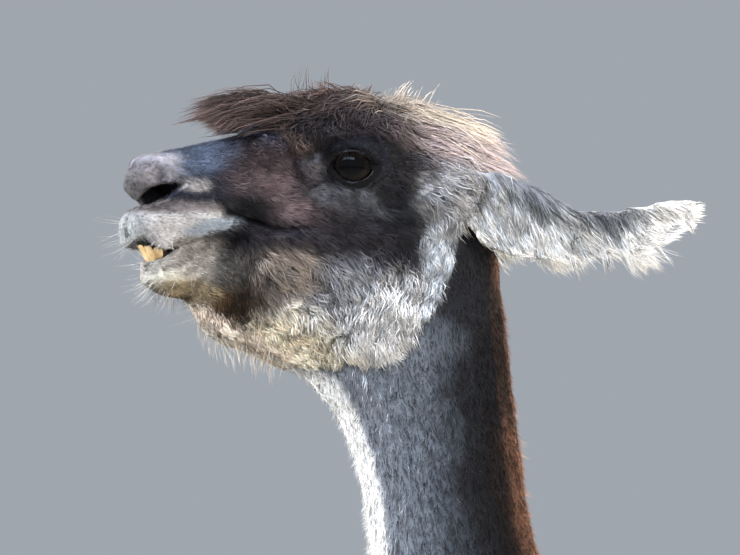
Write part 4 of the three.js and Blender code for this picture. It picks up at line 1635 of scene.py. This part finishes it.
@dataclass
class Shading:
    """A material in the making: its node tree, and short ways to add what repeats in it."""

    name: str

    def __post_init__(self) -> None:
        """Makes the material, empty."""
        self.made = bpy.data.materials.new(self.name)
        self.made.use_nodes = True
        self.tree = self.made.node_tree
        self.tree.nodes.clear()

    def add(self, kind: str, settings: dict | None = None, links: dict | None = None) -> bpy.types.Node:
        """Adds a shader node."""
        return add_node(self.tree, "ShaderNode" + kind, settings, links)

    def attribute(self, name: str, output: str) -> bpy.types.NodeSocket:
        """Reads what is stored at the mesh's corners."""
        return self.add("Attribute", {"attribute_name": name}).outputs[output]

    def grain(
        self, place: bpy.types.NodeSocket, scale: float, detail: float, roughness: float = 0.5
    ) -> bpy.types.NodeSocket:
        """Gives noise over a place."""
        settings = {"Scale": scale, "Detail": detail, "Roughness": roughness}
        return self.add("TexNoise", settings, {"Vector": place}).outputs["Fac"]

    def drawn(self, place: bpy.types.NodeSocket, scale: tuple) -> bpy.types.NodeSocket:
        """Draws a place out along its axes."""
        return self.add("Mapping", {"Scale": scale}, {"Vector": place}).outputs[0]

    def length(self, vector: bpy.types.NodeSocket, scale: tuple) -> bpy.types.NodeSocket:
        """Gives a vector's length once its axes are scaled."""
        scaled = self.add("VectorMath", {"operation": "MULTIPLY", 1: scale}, {0: vector})
        return self.add("VectorMath", {"operation": "LENGTH"}, {0: scaled.outputs[0]}).outputs["Value"]

    def ranged(self, value: bpy.types.NodeSocket, given: tuple, wanted: tuple) -> bpy.types.NodeSocket:
        """Maps a value from one range to another."""
        settings = dict(zip(("From Min", "From Max", "To Min", "To Max"), (*given, *wanted)))
        return self.add("MapRange", settings, {"Value": value}).outputs["Result"]

    def shaded(
        self, colour: bpy.types.NodeSocket, value: bpy.types.NodeSocket, given: tuple, wanted: tuple
    ) -> bpy.types.NodeSocket:
        """Darkens and lightens a colour by a value."""
        by = self.ranged(value, given, wanted)
        return self.add("VectorMath", {"operation": "SCALE"}, {0: colour, "Scale": by}).outputs[0]

    def blend(self, value: bpy.types.NodeSocket, stops: dict[float, str]) -> bpy.types.NodeSocket:
        """Runs a value through hex colours at stops from 0 to 1."""
        ramp_node = self.add("ValToRGB", links={"Fac": value})
        elements = ramp_node.color_ramp.elements
        for i, (position, code) in enumerate(stops.items()):
            stop = elements[i] if i < 2 else elements.new(position)
            stop.position, stop.color = position, rgba(code)
        return ramp_node.outputs["Color"]

    def bump(self, height: bpy.types.NodeSocket, strength: float, deep_mm: float) -> bpy.types.NodeSocket:
        """Gives the normal of a bumpy surface."""
        settings = {"Strength": strength, "Distance": deep_mm * MM}
        return self.add("Bump", settings, {"Height": height}).outputs[0]

    def ended(self, shader: bpy.types.Node) -> bpy.types.Material:
        """Ends the material in a shader."""
        self.add("OutputMaterial", links={"Surface": shader.outputs[0]})
        return self.made


@dataclass(frozen=True)
class WoolFinish:
    """Llama wool and guard hair: matt, with a soft pale edge where light grazes it."""

    name: str = "llama_wool"
    roughness: float = 0.55
    sheen: float = 0.08
    specular: float = 0.22
    streaks: tuple[float, float, float] = (1500.0, 90.0, 1.0)
    shades: tuple[float, float] = (0.72, 1.12)
    through: float = 0.28

    def make(self) -> bpy.types.Material:
        """Makes the material. Fine streaks along each lock stand for its single hairs."""
        shading = Shading(self.name)
        place = shading.add("UVMap", {"uv_map": BAKE_MAP}).outputs[0]
        hairs = shading.grain(shading.drawn(place, self.streaks), 1.0, 2.0)
        colour = shading.shaded(shading.attribute(COLOUR, "Color"), hairs, (0.3, 0.7), self.shades)
        settings = {"Roughness": self.roughness, "Sheen Weight": self.sheen, "Sheen Roughness": 0.45}
        settings |= {"Specular IOR Level": self.specular}
        shader = shading.add("BsdfPrincipled", settings, {"Base Color": colour})
        glow = shading.add("BsdfTranslucent", links={"Color": colour})
        both = shading.add("MixShader", {0: self.through}, {1: shader.outputs[0], 2: glow.outputs[0]})
        return shading.ended(both)


@dataclass(frozen=True)
class SkinFinish:
    """Hide under short hair: the coat's own colour, broken up at the width of a few hairs."""

    name: str = "haired_hide"
    grain_mm: float = 1.6
    bump_mm: float = 0.5
    shades: tuple[float, float] = (0.78, 1.08)

    def make(self) -> bpy.types.Material:
        """Makes the material."""
        shading = Shading(self.name)
        place = shading.add("TexCoord").outputs["Object"]
        grain = shading.grain(place, 1 / (self.grain_mm * MM), 3.0, 0.6)
        colour = shading.shaded(shading.attribute(COLOUR, "Color"), grain, (0.3, 0.7), self.shades)
        settings = {"Roughness": 0.7, "Sheen Weight": 0.04, "Specular IOR Level": 0.15}
        links = {"Base Color": colour, "Normal": shading.bump(grain, 0.6, self.bump_mm)}
        return shading.ended(shading.add("BsdfPrincipled", settings, links))


@dataclass(frozen=True)
class EyeFinish:
    """A wet dark eye: brown iris, a wide pupil that lies level, and a clear cornea over both."""

    name: str = "wet_eye"
    ball_mm: float = 21.5
    pupil_mm: tuple[float, float] = (11.0, 7.6)
    pupil: str = "050506"

    def make(self) -> bpy.types.Material:
        """Makes the material. It reads each point's place in the eye's own axes, in millimetres."""
        shading = Shading(self.name)
        gaze = shading.attribute("gaze", "Vector")
        away = shading.length(gaze, (1.0, 1.0, 0.0))
        hole = shading.length(gaze, (1 / self.pupil_mm[0], 1 / self.pupil_mm[1], 0.0))
        rays = shading.grain(gaze, 0.5, 4.0, 0.6)
        edge = shading.add("Math", {"operation": "MULTIPLY_ADD", 1: 0.35}, {0: rays, 2: hole}).outputs[0]
        share = shading.add("Math", {"operation": "DIVIDE", 1: self.ball_mm}, {0: away}).outputs[0]
        iris = shading.blend(share, {0.30: "0d0b09", 0.58: "120e0b", 0.66: "0c0a09", 0.72: "050404"})
        tinted = shading.shaded(iris, rays, (0.35, 0.65), (0.7, 1.2))
        inside = shading.ranged(edge, (1.08, 1.32), (1.0, 0.0))
        settings = {"data_type": "RGBA", 7: rgba(self.pupil)}
        mixed = shading.add("Mix", settings, {"Factor": inside, 6: tinted})
        settings = {"Roughness": 0.5, "Coat Weight": 0.5, "Coat Roughness": 0.03, "Coat IOR": 1.36}
        settings |= {"Specular IOR Level": 0.0}
        return shading.ended(shading.add("BsdfPrincipled", settings, {"Base Color": mixed.outputs[2]}))


@dataclass(frozen=True)
class PlainFinish:
    """A finish of two colours mixed by noise, for enamel, horn, wet lid and floor."""

    name: str
    light: str
    dark: str
    grain_mm: float
    roughness: float
    coat: float = 0.0
    bump_mm: float = 0.0
    stretch: tuple[float, float, float] = (1.0, 1.0, 1.0)

    def make(self) -> bpy.types.Material:
        """Makes the material."""
        shading = Shading(self.name)
        place = shading.drawn(shading.add("TexCoord").outputs["Object"], self.stretch)
        grain = shading.grain(place, 1 / (self.grain_mm * MM), 4.0)
        links = {"Base Color": shading.blend(grain, {0.35: self.dark, 0.65: self.light})}
        if self.bump_mm:
            links["Normal"] = shading.bump(grain, 0.5, self.bump_mm)
        settings = {"Roughness": self.roughness, "Coat Weight": self.coat, "Coat Roughness": 0.1}
        return shading.ended(shading.add("BsdfPrincipled", settings, links))


# ---- Eyes, lids and lashes ----
def tube(name: str, rings: np.ndarray, closed: bool = False) -> bpy.types.Object:
    """Joins rings of points into a skin with shut ends, or into a loop.

    Args:
        name: The piece's name.
        rings: Points as ring, place on the ring, and x, y, z.
        closed: Joins the last ring to the first.

    Returns:
        The piece, its faces turned outward.
    """
    count, sides, _ = rings.shape
    points = rings.reshape(-1, 3)
    faces = []
    for i in range(count if closed else count - 1):
        for j in range(sides):
            a, b = i * sides + j, i * sides + (j + 1) % sides
            c, d = (a + sides) % len(points), (b + sides) % len(points)
            faces += [(a, b, d), (a, d, c)]
    if not closed:
        points = np.concatenate([points, rings[:1].mean(axis=1), rings[-1:].mean(axis=1)])
        first, last = count * sides, count * sides + 1
        for j in range(sides):
            faces.append((first, (j + 1) % sides, j))
            faces.append((last, (count - 1) * sides + j, (count - 1) * sides + (j + 1) % sides))
    faces = np.array(faces)
    a, b, c = (points[faces[:, i]] for i in range(3))
    if np.sum(np.cross(a, b) * c) < 0:
        faces = faces[:, ::-1]
    return make_mesh(name, points, faces)


@dataclass
class Eyes:
    """Both eyes with their wet lid rims."""

    anatomy: Anatomy
    hide: Hide
    rings: int = 60
    sides: int = 64
    cornea_mm: float = 0.9
    rim_mm: float = 0.8
    rim_wide: float = 1.9
    rim_sides: int = 8
    rim_steps: int = 96
    rim_past_mm: float = 1.1
    rim_out_mm: float = 0.9

    def ball(self, gaze: Gaze, name: str) -> bpy.types.Object:
        """Makes one eyeball with its cornea standing a little proud."""
        turns = np.linspace(0.004, math.pi - 0.004, self.rings)[:, None]
        around = np.linspace(0, 2 * math.pi, self.sides, endpoint=False)[None]
        flat = np.sin(turns)
        local = np.stack(
            [flat * np.cos(around), flat * np.sin(around), np.cos(turns) * np.ones_like(around)], axis=2
        )
        swell = self.cornea_mm * MM * smooth(local[..., 2], 0.62, 0.95)
        size = (self.anatomy.eye_radius - 0.3 * MM + swell)[..., None]
        made = tube(name, gaze.centre + (local * size) @ gaze.axes)
        away = corners(made.data) - gaze.centre
        store(made.data, "gaze", "FLOAT_VECTOR", "vector", away @ gaze.axes.T / MM)
        return made

    def rim(self, gaze: Gaze, name: str) -> bpy.types.Object:
        """Makes the wet edge of both lids round one eye."""
        long, high = (half + self.rim_past_mm for half in self.hide.slit_mm)
        turn = np.linspace(0, 2 * math.pi, self.rim_steps, endpoint=False)
        aside = long * np.sign(np.cos(turn)) * np.abs(np.cos(turn)) ** (2 / LID_POWER)
        lid = high * np.where(np.sin(turn) > 0, *LIDS)
        up = lid * np.sin(turn) + LID_SLANT * aside
        size = self.anatomy.eye_radius / MM
        ahead = np.sqrt(np.maximum(size**2 - aside**2 - up**2, 1))
        spine = np.stack([aside, up, ahead], axis=1) @ gaze.axes * MM
        outward = unit(spine)
        spine = gaze.centre + spine * (1 + self.rim_out_mm * MM / self.anatomy.eye_radius)
        tangent = unit(np.roll(spine, -1, axis=0) - np.roll(spine, 1, axis=0))
        beside = np.cross(tangent, outward)
        around = np.linspace(0, 2 * math.pi, self.rim_sides, endpoint=False)
        ways = [outward * math.cos(turn) + beside * math.sin(turn) * self.rim_wide for turn in around]
        rings = [spine + way * self.rim_mm * MM for way in ways]
        return tube(name, np.stack(rings, axis=1), closed=True)

    def build(self) -> None:
        """Makes and dresses the eyes."""
        wet = EyeFinish().make()
        lid = PlainFinish("wet_lid", "25242a", "131215", 1.5, 0.4, 0.2, 0.1).make()
        for side in Side:
            gaze = Gaze(self.anatomy, side)
            word = side.name.lower()
            ball = self.ball(gaze, f"eye_{word}_globe")
            ball.data.materials.append(wet)
            placed(ball, "eye", f"eye_{word}")
            rim = self.rim(gaze, f"lid_rim_{word}")
            rim.data.materials.append(lid)
            placed(rim, "coat")


# ---- Teeth and toenails ----
@dataclass
class Incisors:
    """Six lower incisors side by side, which lean out over the lip."""

    anatomy: Anatomy
    count: int = 6
    spread: float = 1.3
    root_reach_mm: float = 10.0
    tip_reach_mm: float = 23.0
    thick_mm: float = 4.2
    wide_mm: tuple[float, float] = (7.4, 10.4)
    steps: int = 10
    sides: int = 16

    def build(self) -> None:
        """Makes and dresses the teeth as one piece."""
        low, high = self.anatomy.box("lower_incisors")
        centre = low[0] + (self.tip_reach_mm + 0.6) * MM
        narrow = (high[1] - low[1]) / 2 / ((self.tip_reach_mm + 0.5) * MM)
        foot, top = low[2], high[2]
        shapes = []
        for i in range(self.count):
            turn = self.spread * ((i + 0.5) / self.count * 2 - 1)
            middle = abs((i + 0.5) / self.count * 2 - 1)
            wide = 1.0 - 0.22 * middle
            crown = top - (0.6 + 2.6 * middle) * MM
            out = np.array([-math.cos(turn), math.sin(turn) * min(narrow, 1.0), 0.0])
            aside = unit(np.array([math.sin(turn), math.cos(turn), 0.0]))
            rings = []
            for step in range(self.steps + 1):
                part = step / self.steps
                round_off = math.sqrt(max(1 - max(part - 0.8, 0) ** 2 / 0.045, 0.03))
                reach = (self.root_reach_mm + (self.tip_reach_mm - self.root_reach_mm) * part**1.15) * MM
                spine = np.array([centre, 0, foot + (crown - foot) * part]) + out * reach
                half_w = (self.wide_mm[0] + (self.wide_mm[1] - self.wide_mm[0]) * part) * wide * MM / 2
                half_t = self.thick_mm * (1 - 0.55 * part) * MM / 2
                around = np.linspace(0, 2 * math.pi, self.sides, endpoint=False)[:, None]
                square = np.sign(np.cos(around)) * np.abs(np.cos(around)) ** 0.6
                across = square * half_w * (0.55 + 0.45 * round_off)
                through = np.sign(np.sin(around)) * np.abs(np.sin(around)) ** 0.8 * half_t * round_off
                rings.append(spine + aside * across + out * through)
            shapes.append(tube(f"incisor_{i}", np.array(rings)))
        made = joined("incisors", shapes)
        enamel = PlainFinish("stained_enamel", "c8ad7e", "987443", 5.0, 0.32, 0.35, 0.25, (1.0, 1.0, 0.3))
        made.data.materials.append(enamel.make())
        placed(made, "tooth", "lower_incisors")
        self.gum(low, high)

    def gum(self, low: np.ndarray, high: np.ndarray) -> None:
        """Closes the mouth behind the teeth with a dark gum.

        Args:
            low: The teeth's lowest corner.
            high: Their highest.
        """
        turns = np.linspace(0.05, math.pi - 0.05, 16)
        around = np.linspace(0, 2 * math.pi, 20, endpoint=False)
        middle = np.array([low[0] + 38 * MM, 0.0, (low[2] + high[2]) / 2 + 3 * MM])
        half = np.array([30 * MM, (high[1] - low[1]) * 0.5, (high[2] - low[2]) * 0.62])
        flat = np.sin(turns)[:, None]
        ahead = -np.cos(turns)[:, None] * np.ones(len(around))
        local = np.stack([ahead, flat * np.cos(around), flat * np.sin(around)], axis=2)
        made = tube("gum", middle + local * half)
        made.data.materials.append(PlainFinish("wet_gum", "4a3230", "2b1c1b", 3.0, 0.35, 0.4, 0.2).make())
        placed(made, "coat")


def joined(name: str, shapes: list) -> bpy.types.Object:
    """Joins triangle pieces into one and removes them."""
    points, faces, total = [], [], 0
    for shape in shapes:
        points.append(corners(shape.data))
        faces.append(loops_of(shape.data) + total)
        total += len(points[-1])
        bpy.data.objects.remove(shape)
    return make_mesh(name, np.concatenate(points), np.concatenate(faces))


@dataclass
class Toenails:
    """Two curved nails on each foot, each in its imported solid's place."""

    anatomy: Anatomy
    steps: int = 14
    sides: int = 20

    def nail(self, node: str) -> bpy.types.Object:
        """Makes one nail, widest where it leaves the toe and hooked at its tip."""
        low, high = self.anatomy.box(node)
        middle_y, half_y = (low[1] + high[1]) / 2, (high[1] - low[1]) / 2
        rings = []
        for step in range(self.steps + 1):
            part = step / self.steps
            x = high[0] + (low[0] - high[0]) * part
            shrink = math.sqrt(max(1 - part**2.6, 0.0)) * 0.96 + 0.04
            top = high[2] - (high[2] - low[2]) * 0.62 * part**1.7
            bottom = low[2] + (high[2] - low[2]) * 0.1 * (1 - part)
            centre_z, half_z = (top + bottom) / 2, (top - bottom) / 2
            around = np.linspace(0, 2 * math.pi, self.sides, endpoint=False)
            ridge = 1 + 0.02 * math.sin(part * 40)
            y = middle_y + half_y * (0.55 + 0.45 * shrink) * shrink**0.4 * np.cos(around) * ridge
            z = centre_z + half_z * np.sin(around) * ridge * shrink**0.4
            rings.append(np.stack([np.full(self.sides, x), y, z], axis=1))
        return tube(node + "_claw", np.array(rings))

    def build(self) -> None:
        """Makes and dresses the nails."""
        horn = PlainFinish("ringed_horn", "57493f", "221b18", 3.0, 0.42, 0.15, 0.3, (3.0, 0.6, 0.6)).make()
        for node in [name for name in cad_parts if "_nail_" in name]:
            made = self.nail(node)
            made.data.materials.append(horn)
            placed(made, "toenail", node)


# ---- Bristles by Geometry Nodes ----
@dataclass
class Bristles:
    """A node tree that stands a bent, tapered bristle on every point of a mesh, turned along its way."""

    name: str
    thick_mm: float
    bow: float
    seed: int
    finish: bpy.types.Material
    joints: int = 5

    def tree(self) -> bpy.types.NodeTree:
        """Builds the node tree with its inputs."""
        tree = bpy.data.node_groups.new(self.name, "GeometryNodeTree")
        face = tree.interface
        face.new_socket("Geometry", in_out="INPUT", socket_type="NodeSocketGeometry")
        for word in ("Thickness", "Bow"):
            face.new_socket(word, in_out="INPUT", socket_type="NodeSocketFloat")
        for word in ("Joints", "Seed"):
            face.new_socket(word, in_out="INPUT", socket_type="NodeSocketInt")
        face.new_socket("Material", in_out="INPUT", socket_type="NodeSocketMaterial")
        face.new_socket("Geometry", in_out="OUTPUT", socket_type="NodeSocketGeometry")
        given = add_node(tree, "NodeGroupInput").outputs
        end = add_node(tree, "ShaderNodeCombineXYZ", {"Z": 1.0}, {"X": given["Bow"]})
        line = add_node(
            tree, "GeometryNodeCurveQuadraticBezier", {"Start": (0, 0, 0), "Middle": (0, 0, 0.55)},
            {"Resolution": given["Joints"], "End": end.outputs[0]},
        )
        part = add_node(tree, "GeometryNodeSplineParameter")
        taper = add_node(
            tree, "ShaderNodeMapRange", {"From Min": 0.0, "From Max": 1.0, "To Min": 1.0, "To Max": 0.12},
            {"Value": part.outputs["Factor"]},
        )
        links = {0: taper.outputs[0], 1: given["Thickness"]}
        size = add_node(tree, "ShaderNodeMath", {"operation": "MULTIPLY"}, links)
        links = {"Curve": line.outputs[0], "Radius": size.outputs[0]}
        thinned = add_node(tree, "GeometryNodeSetCurveRadius", links=links)
        ring = add_node(tree, "GeometryNodeCurvePrimitiveCircle", {"Resolution": 3, "Radius": 1.0})
        links = {"Curve": thinned.outputs[0], "Profile Curve": ring.outputs[0]}
        hair = add_node(tree, "GeometryNodeCurveToMesh", {"Fill Caps": True}, links)
        if "Scale" in hair.inputs:
            tree.links.new(size.outputs[0], hair.inputs["Scale"])
        way = add_node(tree, "GeometryNodeInputNamedAttribute", {"data_type": "FLOAT_VECTOR", "Name": "way"})
        reach = add_node(tree, "GeometryNodeInputNamedAttribute", {"data_type": "FLOAT", "Name": "reach"})
        aimed = add_node(tree, "FunctionNodeAlignRotationToVector", {"axis": "Z"}, {"Vector": way.outputs[0]})
        spin = add_node(
            tree, "FunctionNodeRandomValue", {"data_type": "FLOAT", 2: -0.7, 3: 0.7}, {"Seed": given["Seed"]}
        )
        twist = add_node(
            tree, "FunctionNodeAxisAngleToRotation", {"Axis": (0, 0, 1)}, {"Angle": spin.outputs[1]}
        )
        turned = add_node(
            tree, "FunctionNodeRotateRotation", {"rotation_space": "LOCAL"},
            {"Rotation": aimed.outputs[0], "Rotate By": twist.outputs[0]},
        )
        stood = add_node(
            tree, "GeometryNodeInstanceOnPoints", None,
            {"Points": given["Geometry"], "Instance": hair.outputs[0], "Rotation": turned.outputs[0],
             "Scale": reach.outputs[0]},
        )
        real = add_node(tree, "GeometryNodeRealizeInstances", links={0: stood.outputs[0]})
        dressed = add_node(
            tree, "GeometryNodeSetMaterial",
            links={"Geometry": real.outputs[0], "Material": given["Material"]},
        )
        add_node(tree, "NodeGroupOutput", links={0: dressed.outputs[0]})
        return tree

    def build(self, points: np.ndarray, way: np.ndarray, reach: np.ndarray) -> None:
        """Stands the bristles and leaves them as one plain mesh.

        Args:
            points: Their roots.
            way: The way that each points.
            reach: Each one's length.
        """
        mesh = bpy.data.meshes.new(self.name)
        mesh.from_pydata(points.tolist(), [], [])
        store(mesh, "way", "FLOAT_VECTOR", "vector", way)
        store(mesh, "reach", "FLOAT", "value", reach)
        made = bpy.data.objects.new(self.name, mesh)
        bpy.context.scene.collection.objects.link(made)
        tree = self.tree()
        modifier = made.modifiers.new(self.name, "NODES")
        modifier.node_group = tree
        values = {
            "Thickness": self.thick_mm * MM / max(float(np.mean(reach)), 1e-6), "Bow": self.bow,
            "Joints": self.joints, "Seed": self.seed, "Material": self.finish,
        }
        for item in tree.interface.items_tree:
            if item.item_type == "SOCKET" and item.in_out == "INPUT" and item.name in values:
                modifier[item.identifier] = values[item.name]
        evaluated(made)
        made.data.name = self.name
        placed(made, "coat")


# ---- Studio ----
@dataclass(frozen=True)
class Lamp:
    """A soft lamp, aimed at the head: round, or a wide panel where tall is given."""

    name: str
    place: tuple[float, float, float]
    size: float
    power: float
    code: str
    tall: float = 0.0


@dataclass
class Studio:
    """The floor, the lights and the camera."""

    anatomy: Anatomy
    floor_half: float = 15.0
    camera_place: tuple[float, float, float] = (-1.7747, -3.8042, 1.5864)
    camera_aim: tuple[float, float, float] = (-0.5386, 0.0, 1.5864)
    view_degrees: float = 9.2
    far: float = 100.0
    world_code: str = "a3a9b1"
    world_strength: float = 0.96
    lamps: tuple = (
        Lamp("key", (-3.4, -3.0, 4.4), 2.9, 350, "f6f8ff"),
        Lamp("sky_panel", (-3.5, -3.3, 4.2), 5.4, 150, "dce8ff", 1.1),
        Lamp("rim_front", (-3.4, 1.9, 1.1), 1.4, 260, "ffffff"),
        Lamp("back_side", (2.4, -3.0, 1.7), 1.6, 340, "fff8f0"),
        Lamp("rim_back", (2.4, 1.9, 3.2), 1.4, 330, "fff0dc"),
    )

    def build(self) -> None:
        """Sets up the studio."""
        half = self.floor_half
        edge = np.array([(-half, -half, 0), (half, -half, 0), (half, half, 0), (-half, half, 0)])
        floor = make_mesh("floor", edge, [(0, 1, 2, 3)])
        floor.data.materials.append(PlainFinish("pale_floor", "7c7c79", "767673", 400, 0.8).make())
        aim = Vector(self.anatomy.from_head_mm(0, -60))
        for lamp in self.lamps:
            data = bpy.data.lights.new(lamp.name, "AREA")
            data.shape, data.size, data.energy = "RECTANGLE" if lamp.tall else "DISK", lamp.size, lamp.power
            data.size_y = lamp.tall or lamp.size
            data.color = linear(lamp.code)
            made = bpy.data.objects.new(lamp.name, data)
            made.location = lamp.place
            made.rotation_euler = (aim - made.location).to_track_quat("-Z", "Y").to_euler()
            made.visible_camera = False
            made.visible_glossy = lamp.tall > 0
            bpy.context.scene.collection.objects.link(made)
        world = bpy.data.worlds.new("studio")
        world.use_nodes = True
        glow = world.node_tree.nodes["Background"].inputs
        glow["Color"].default_value = rgba(self.world_code)
        glow["Strength"].default_value = self.world_strength
        bpy.context.scene.world = world
        bpy.context.scene.view_settings.view_transform = "Standard"
        self.camera()

    def camera(self) -> None:
        """Sets the camera level with the jaw, on the animal's left and a little ahead."""
        data = bpy.data.cameras.new("camera")
        data.angle = math.radians(self.view_degrees)
        data.clip_end = self.far
        made = bpy.data.objects.new("camera", data)
        made.location = self.camera_place
        aim = Vector(self.camera_aim) - made.location
        made.rotation_euler = aim.to_track_quat("-Z", "Y").to_euler()
        bpy.context.scene.collection.objects.link(made)
        bpy.context.scene.camera = made


# ---- The llama ----
@dataclass
class Llama:
    """The whole animal."""

    anatomy: Anatomy

    def zones(self, skin: Skin, markings: Markings) -> dict:
        """Says where each piece of the coat grows.

        Args:
            skin: The finished skin.
            markings: What painted it.

        Returns:
            How densely each piece grows at each corner of the skin.
        """
        ahead, above, out = self.anatomy.head_mm(skin.hull)
        part = {kind: skin.parts == kind.value for kind in Part}
        upper, ear = part[Part.HEAD] | part[Part.NECK], part[Part.EAR]
        shorn = upper & (markings.shorn(skin.hull) > 0.5)
        head = upper & ~shorn
        muzzle = head & (ahead > 90) & ~((above < -98) & (ahead < 136))
        brow = (above > 40 - 0.04 * ahead) | ((ahead > 46) & (above > 12))
        behind = ((ahead < -42) & (above > -2)) | ((ahead < -20) & (above > 30))
        crown = head & ~muzzle & (brow | behind)
        jaw = head & ~muzzle & ~crown & ((above < -72 - 0.1 * ahead) | (ahead < -52))
        face = head & ~muzzle & ~crown & ~jaw
        left = skin.points[:, 1] < 0
        bare = (1 - smooth(skin.dark, 0.25, 0.6)) * (1 - smooth(skin.rim, 0.55, 0.95))
        thick = skin.traits.thick[:, 0] * bare
        leaves = [self.anatomy.ears[side] for side in Side]
        reach, across = self.anatomy.on_ear(skin.points, [np.mean(pair, axis=0) for pair in zip(*leaves)])
        under = smooth(-skin.normal[:, 2], 0.1, 0.7)
        lower_edge = smooth(-across, 0.5, 0.85) * (1 - smooth(reach, 0.66, 0.86))
        poll = band(-ahead, 92, 104, 122, 134) * band(above, -62, -40, -24, -8)
        patchy = smooth(noise(skin.hull, 16 * MM, 41), 0.15, 0.4)
        fringe = band(ahead, 14, 34, 66, 78) * smooth(above, 24, 36)
        return {
            "muzzle": muzzle * thick * np.where(ahead > 130, 1.3, 1.0),
            "crown": crown * (ahead > -34) * thick, "crown_back": crown * (ahead <= -34) * thick,
            "jaw_left": (jaw & left) * thick, "jaw_right": (jaw & ~left) * thick,
            "face_left": (face & left) * thick, "face_right": (face & ~left) * thick,
            "ear_left": (ear & left) * 1.0, "ear_right": (ear & ~left) * 1.0,
            "fringe": ear * lower_edge * (0.05 + smooth(reach, 0.26, 0.46)),
            "ear_tip": ear * smooth(reach, 0.72, 0.9),
            "forelock": crown * fringe * (1 - smooth(out, 22, 34)),
            "beard": (jaw | muzzle) * under * smooth(-above, 60, 90) * smooth(ahead, 40, 75),
            "wisps": crown * smooth(above, 44, 56) * patchy,
            "spikes": crown * smooth(above, 52, 60) * band(ahead, 16, 24, 40, 48),
            "back": crown * band(-ahead, 48, 64, 92, 108) * smooth(above, 8, 22),
            "nape": poll * ~ear,
            "neck": shorn * (0.35 + 0.65 * smooth(skin.points[:, 2], 1.1, 1.3)),
            "trunk": part[Part.TRUNK] * 1.0,
            "tail": part[Part.TAIL] * 1.0,
            "legs": part[Part.THIGH] * 0.5 + part[Part.SHANK] * 1.0 + part[Part.FOOT] * 1.6,
        }

    def build(self) -> None:
        """Builds every piece and dresses it."""
        hide = Hide(self.anatomy)
        markings = Markings(self.anatomy)
        skin = hide.build(markings)
        log.info("skin made")
        skin.unwrap()
        skin.dress()
        skin.made.data.materials.append(SkinFinish().make())
        placed(skin.made, "coat", *FLESH)
        Eyes(self.anatomy, hide).build()
        Incisors(self.anatomy).build()
        Toenails(self.anatomy).build()
        self.coat(skin, markings)
        self.lashes(hide)
        self.whiskers(skin)

    def lashes(self, hide: Hide) -> None:
        """Sets lashes in a row along each lid, long above and short below."""
        rng = np.random.default_rng(51)
        dark = PlainFinish("lash_hair", "241c19", "0d0b0b", 3.0, 0.45).make()
        roots, ways, reach = [], [], []
        for side in Side:
            gaze = Gaze(self.anatomy, side)
            for turn in np.concatenate([rng.uniform(0.25, 2.95, 110), rng.uniform(3.6, 5.8, 22)]):
                upper = turn < math.pi
                past_mm = 1.6 if upper else 1.2
                place = gaze.rim_place(turn, hide.slit_mm, self.anatomy.eye_radius / MM, past_mm)
                lean = gaze.across * (0.75 * math.cos(turn) - 0.25)
                rise = gaze.up * (rng.uniform(-0.6, 0.05) if upper else -0.45)
                roots.append(place)
                ways.append(unit(gaze.look + lean + rise + rng.normal(0, 0.1, 3)))
                reach.append(rng.uniform(9, 15) * MM if upper else rng.uniform(4, 7) * MM)
        Bristles("lashes", 0.32, -0.3, 7, dark).build(np.array(roots), np.array(ways), np.array(reach))

    def whiskers(self, skin: Skin) -> None:
        """Sets fine whiskers on the lips and the chin."""
        rng = np.random.default_rng(52)
        ahead, above, _ = self.anatomy.head_mm(skin.points)
        front = (ahead > 150) & (above < -46) & (skin.dark < 0.1)
        chin = (ahead > 124) & (above < -84) & (skin.normal[:, 2] < 0.1)
        picks = np.concatenate([rng.choice(np.where(front)[0], 130), rng.choice(np.where(chin)[0], 70)])
        forward = np.array([-0.6, 0.0, -0.35])
        ways = unit(skin.normal[picks] + forward + rng.normal(0, 0.25, (len(picks), 3)))
        pale = PlainFinish("whisker", "e9e6e0", "b9b4ac", 3.0, 0.4).make()
        reach = rng.uniform(9, 24, len(picks)) * MM
        Bristles("whiskers", 0.11, 0.16, 8, pale).build(skin.points[picks], ways, reach)

    def coat(self, skin: Skin, markings: Markings) -> None:
        """Grows the coat, piece by piece."""
        coat = Coat(skin, WoolFinish().make())
        zones = self.zones(skin, markings)
        few = 1
        for piece in PIECES:
            nodes = ("forelock",) if piece.zone == "forelock" else ()
            coat.grow(replace(piece, count=piece.count // few), zones[piece.zone], nodes)


def main() -> None:
    """Builds the llama and its studio."""
    anatomy = Anatomy()
    Llama(anatomy).build()
    Studio(anatomy).build()
    log.info("studio")


if __name__ == "__main__":
    logging.basicConfig(level=logging.INFO, format="%(relativeCreated)6d ms  %(message)s")
    main()
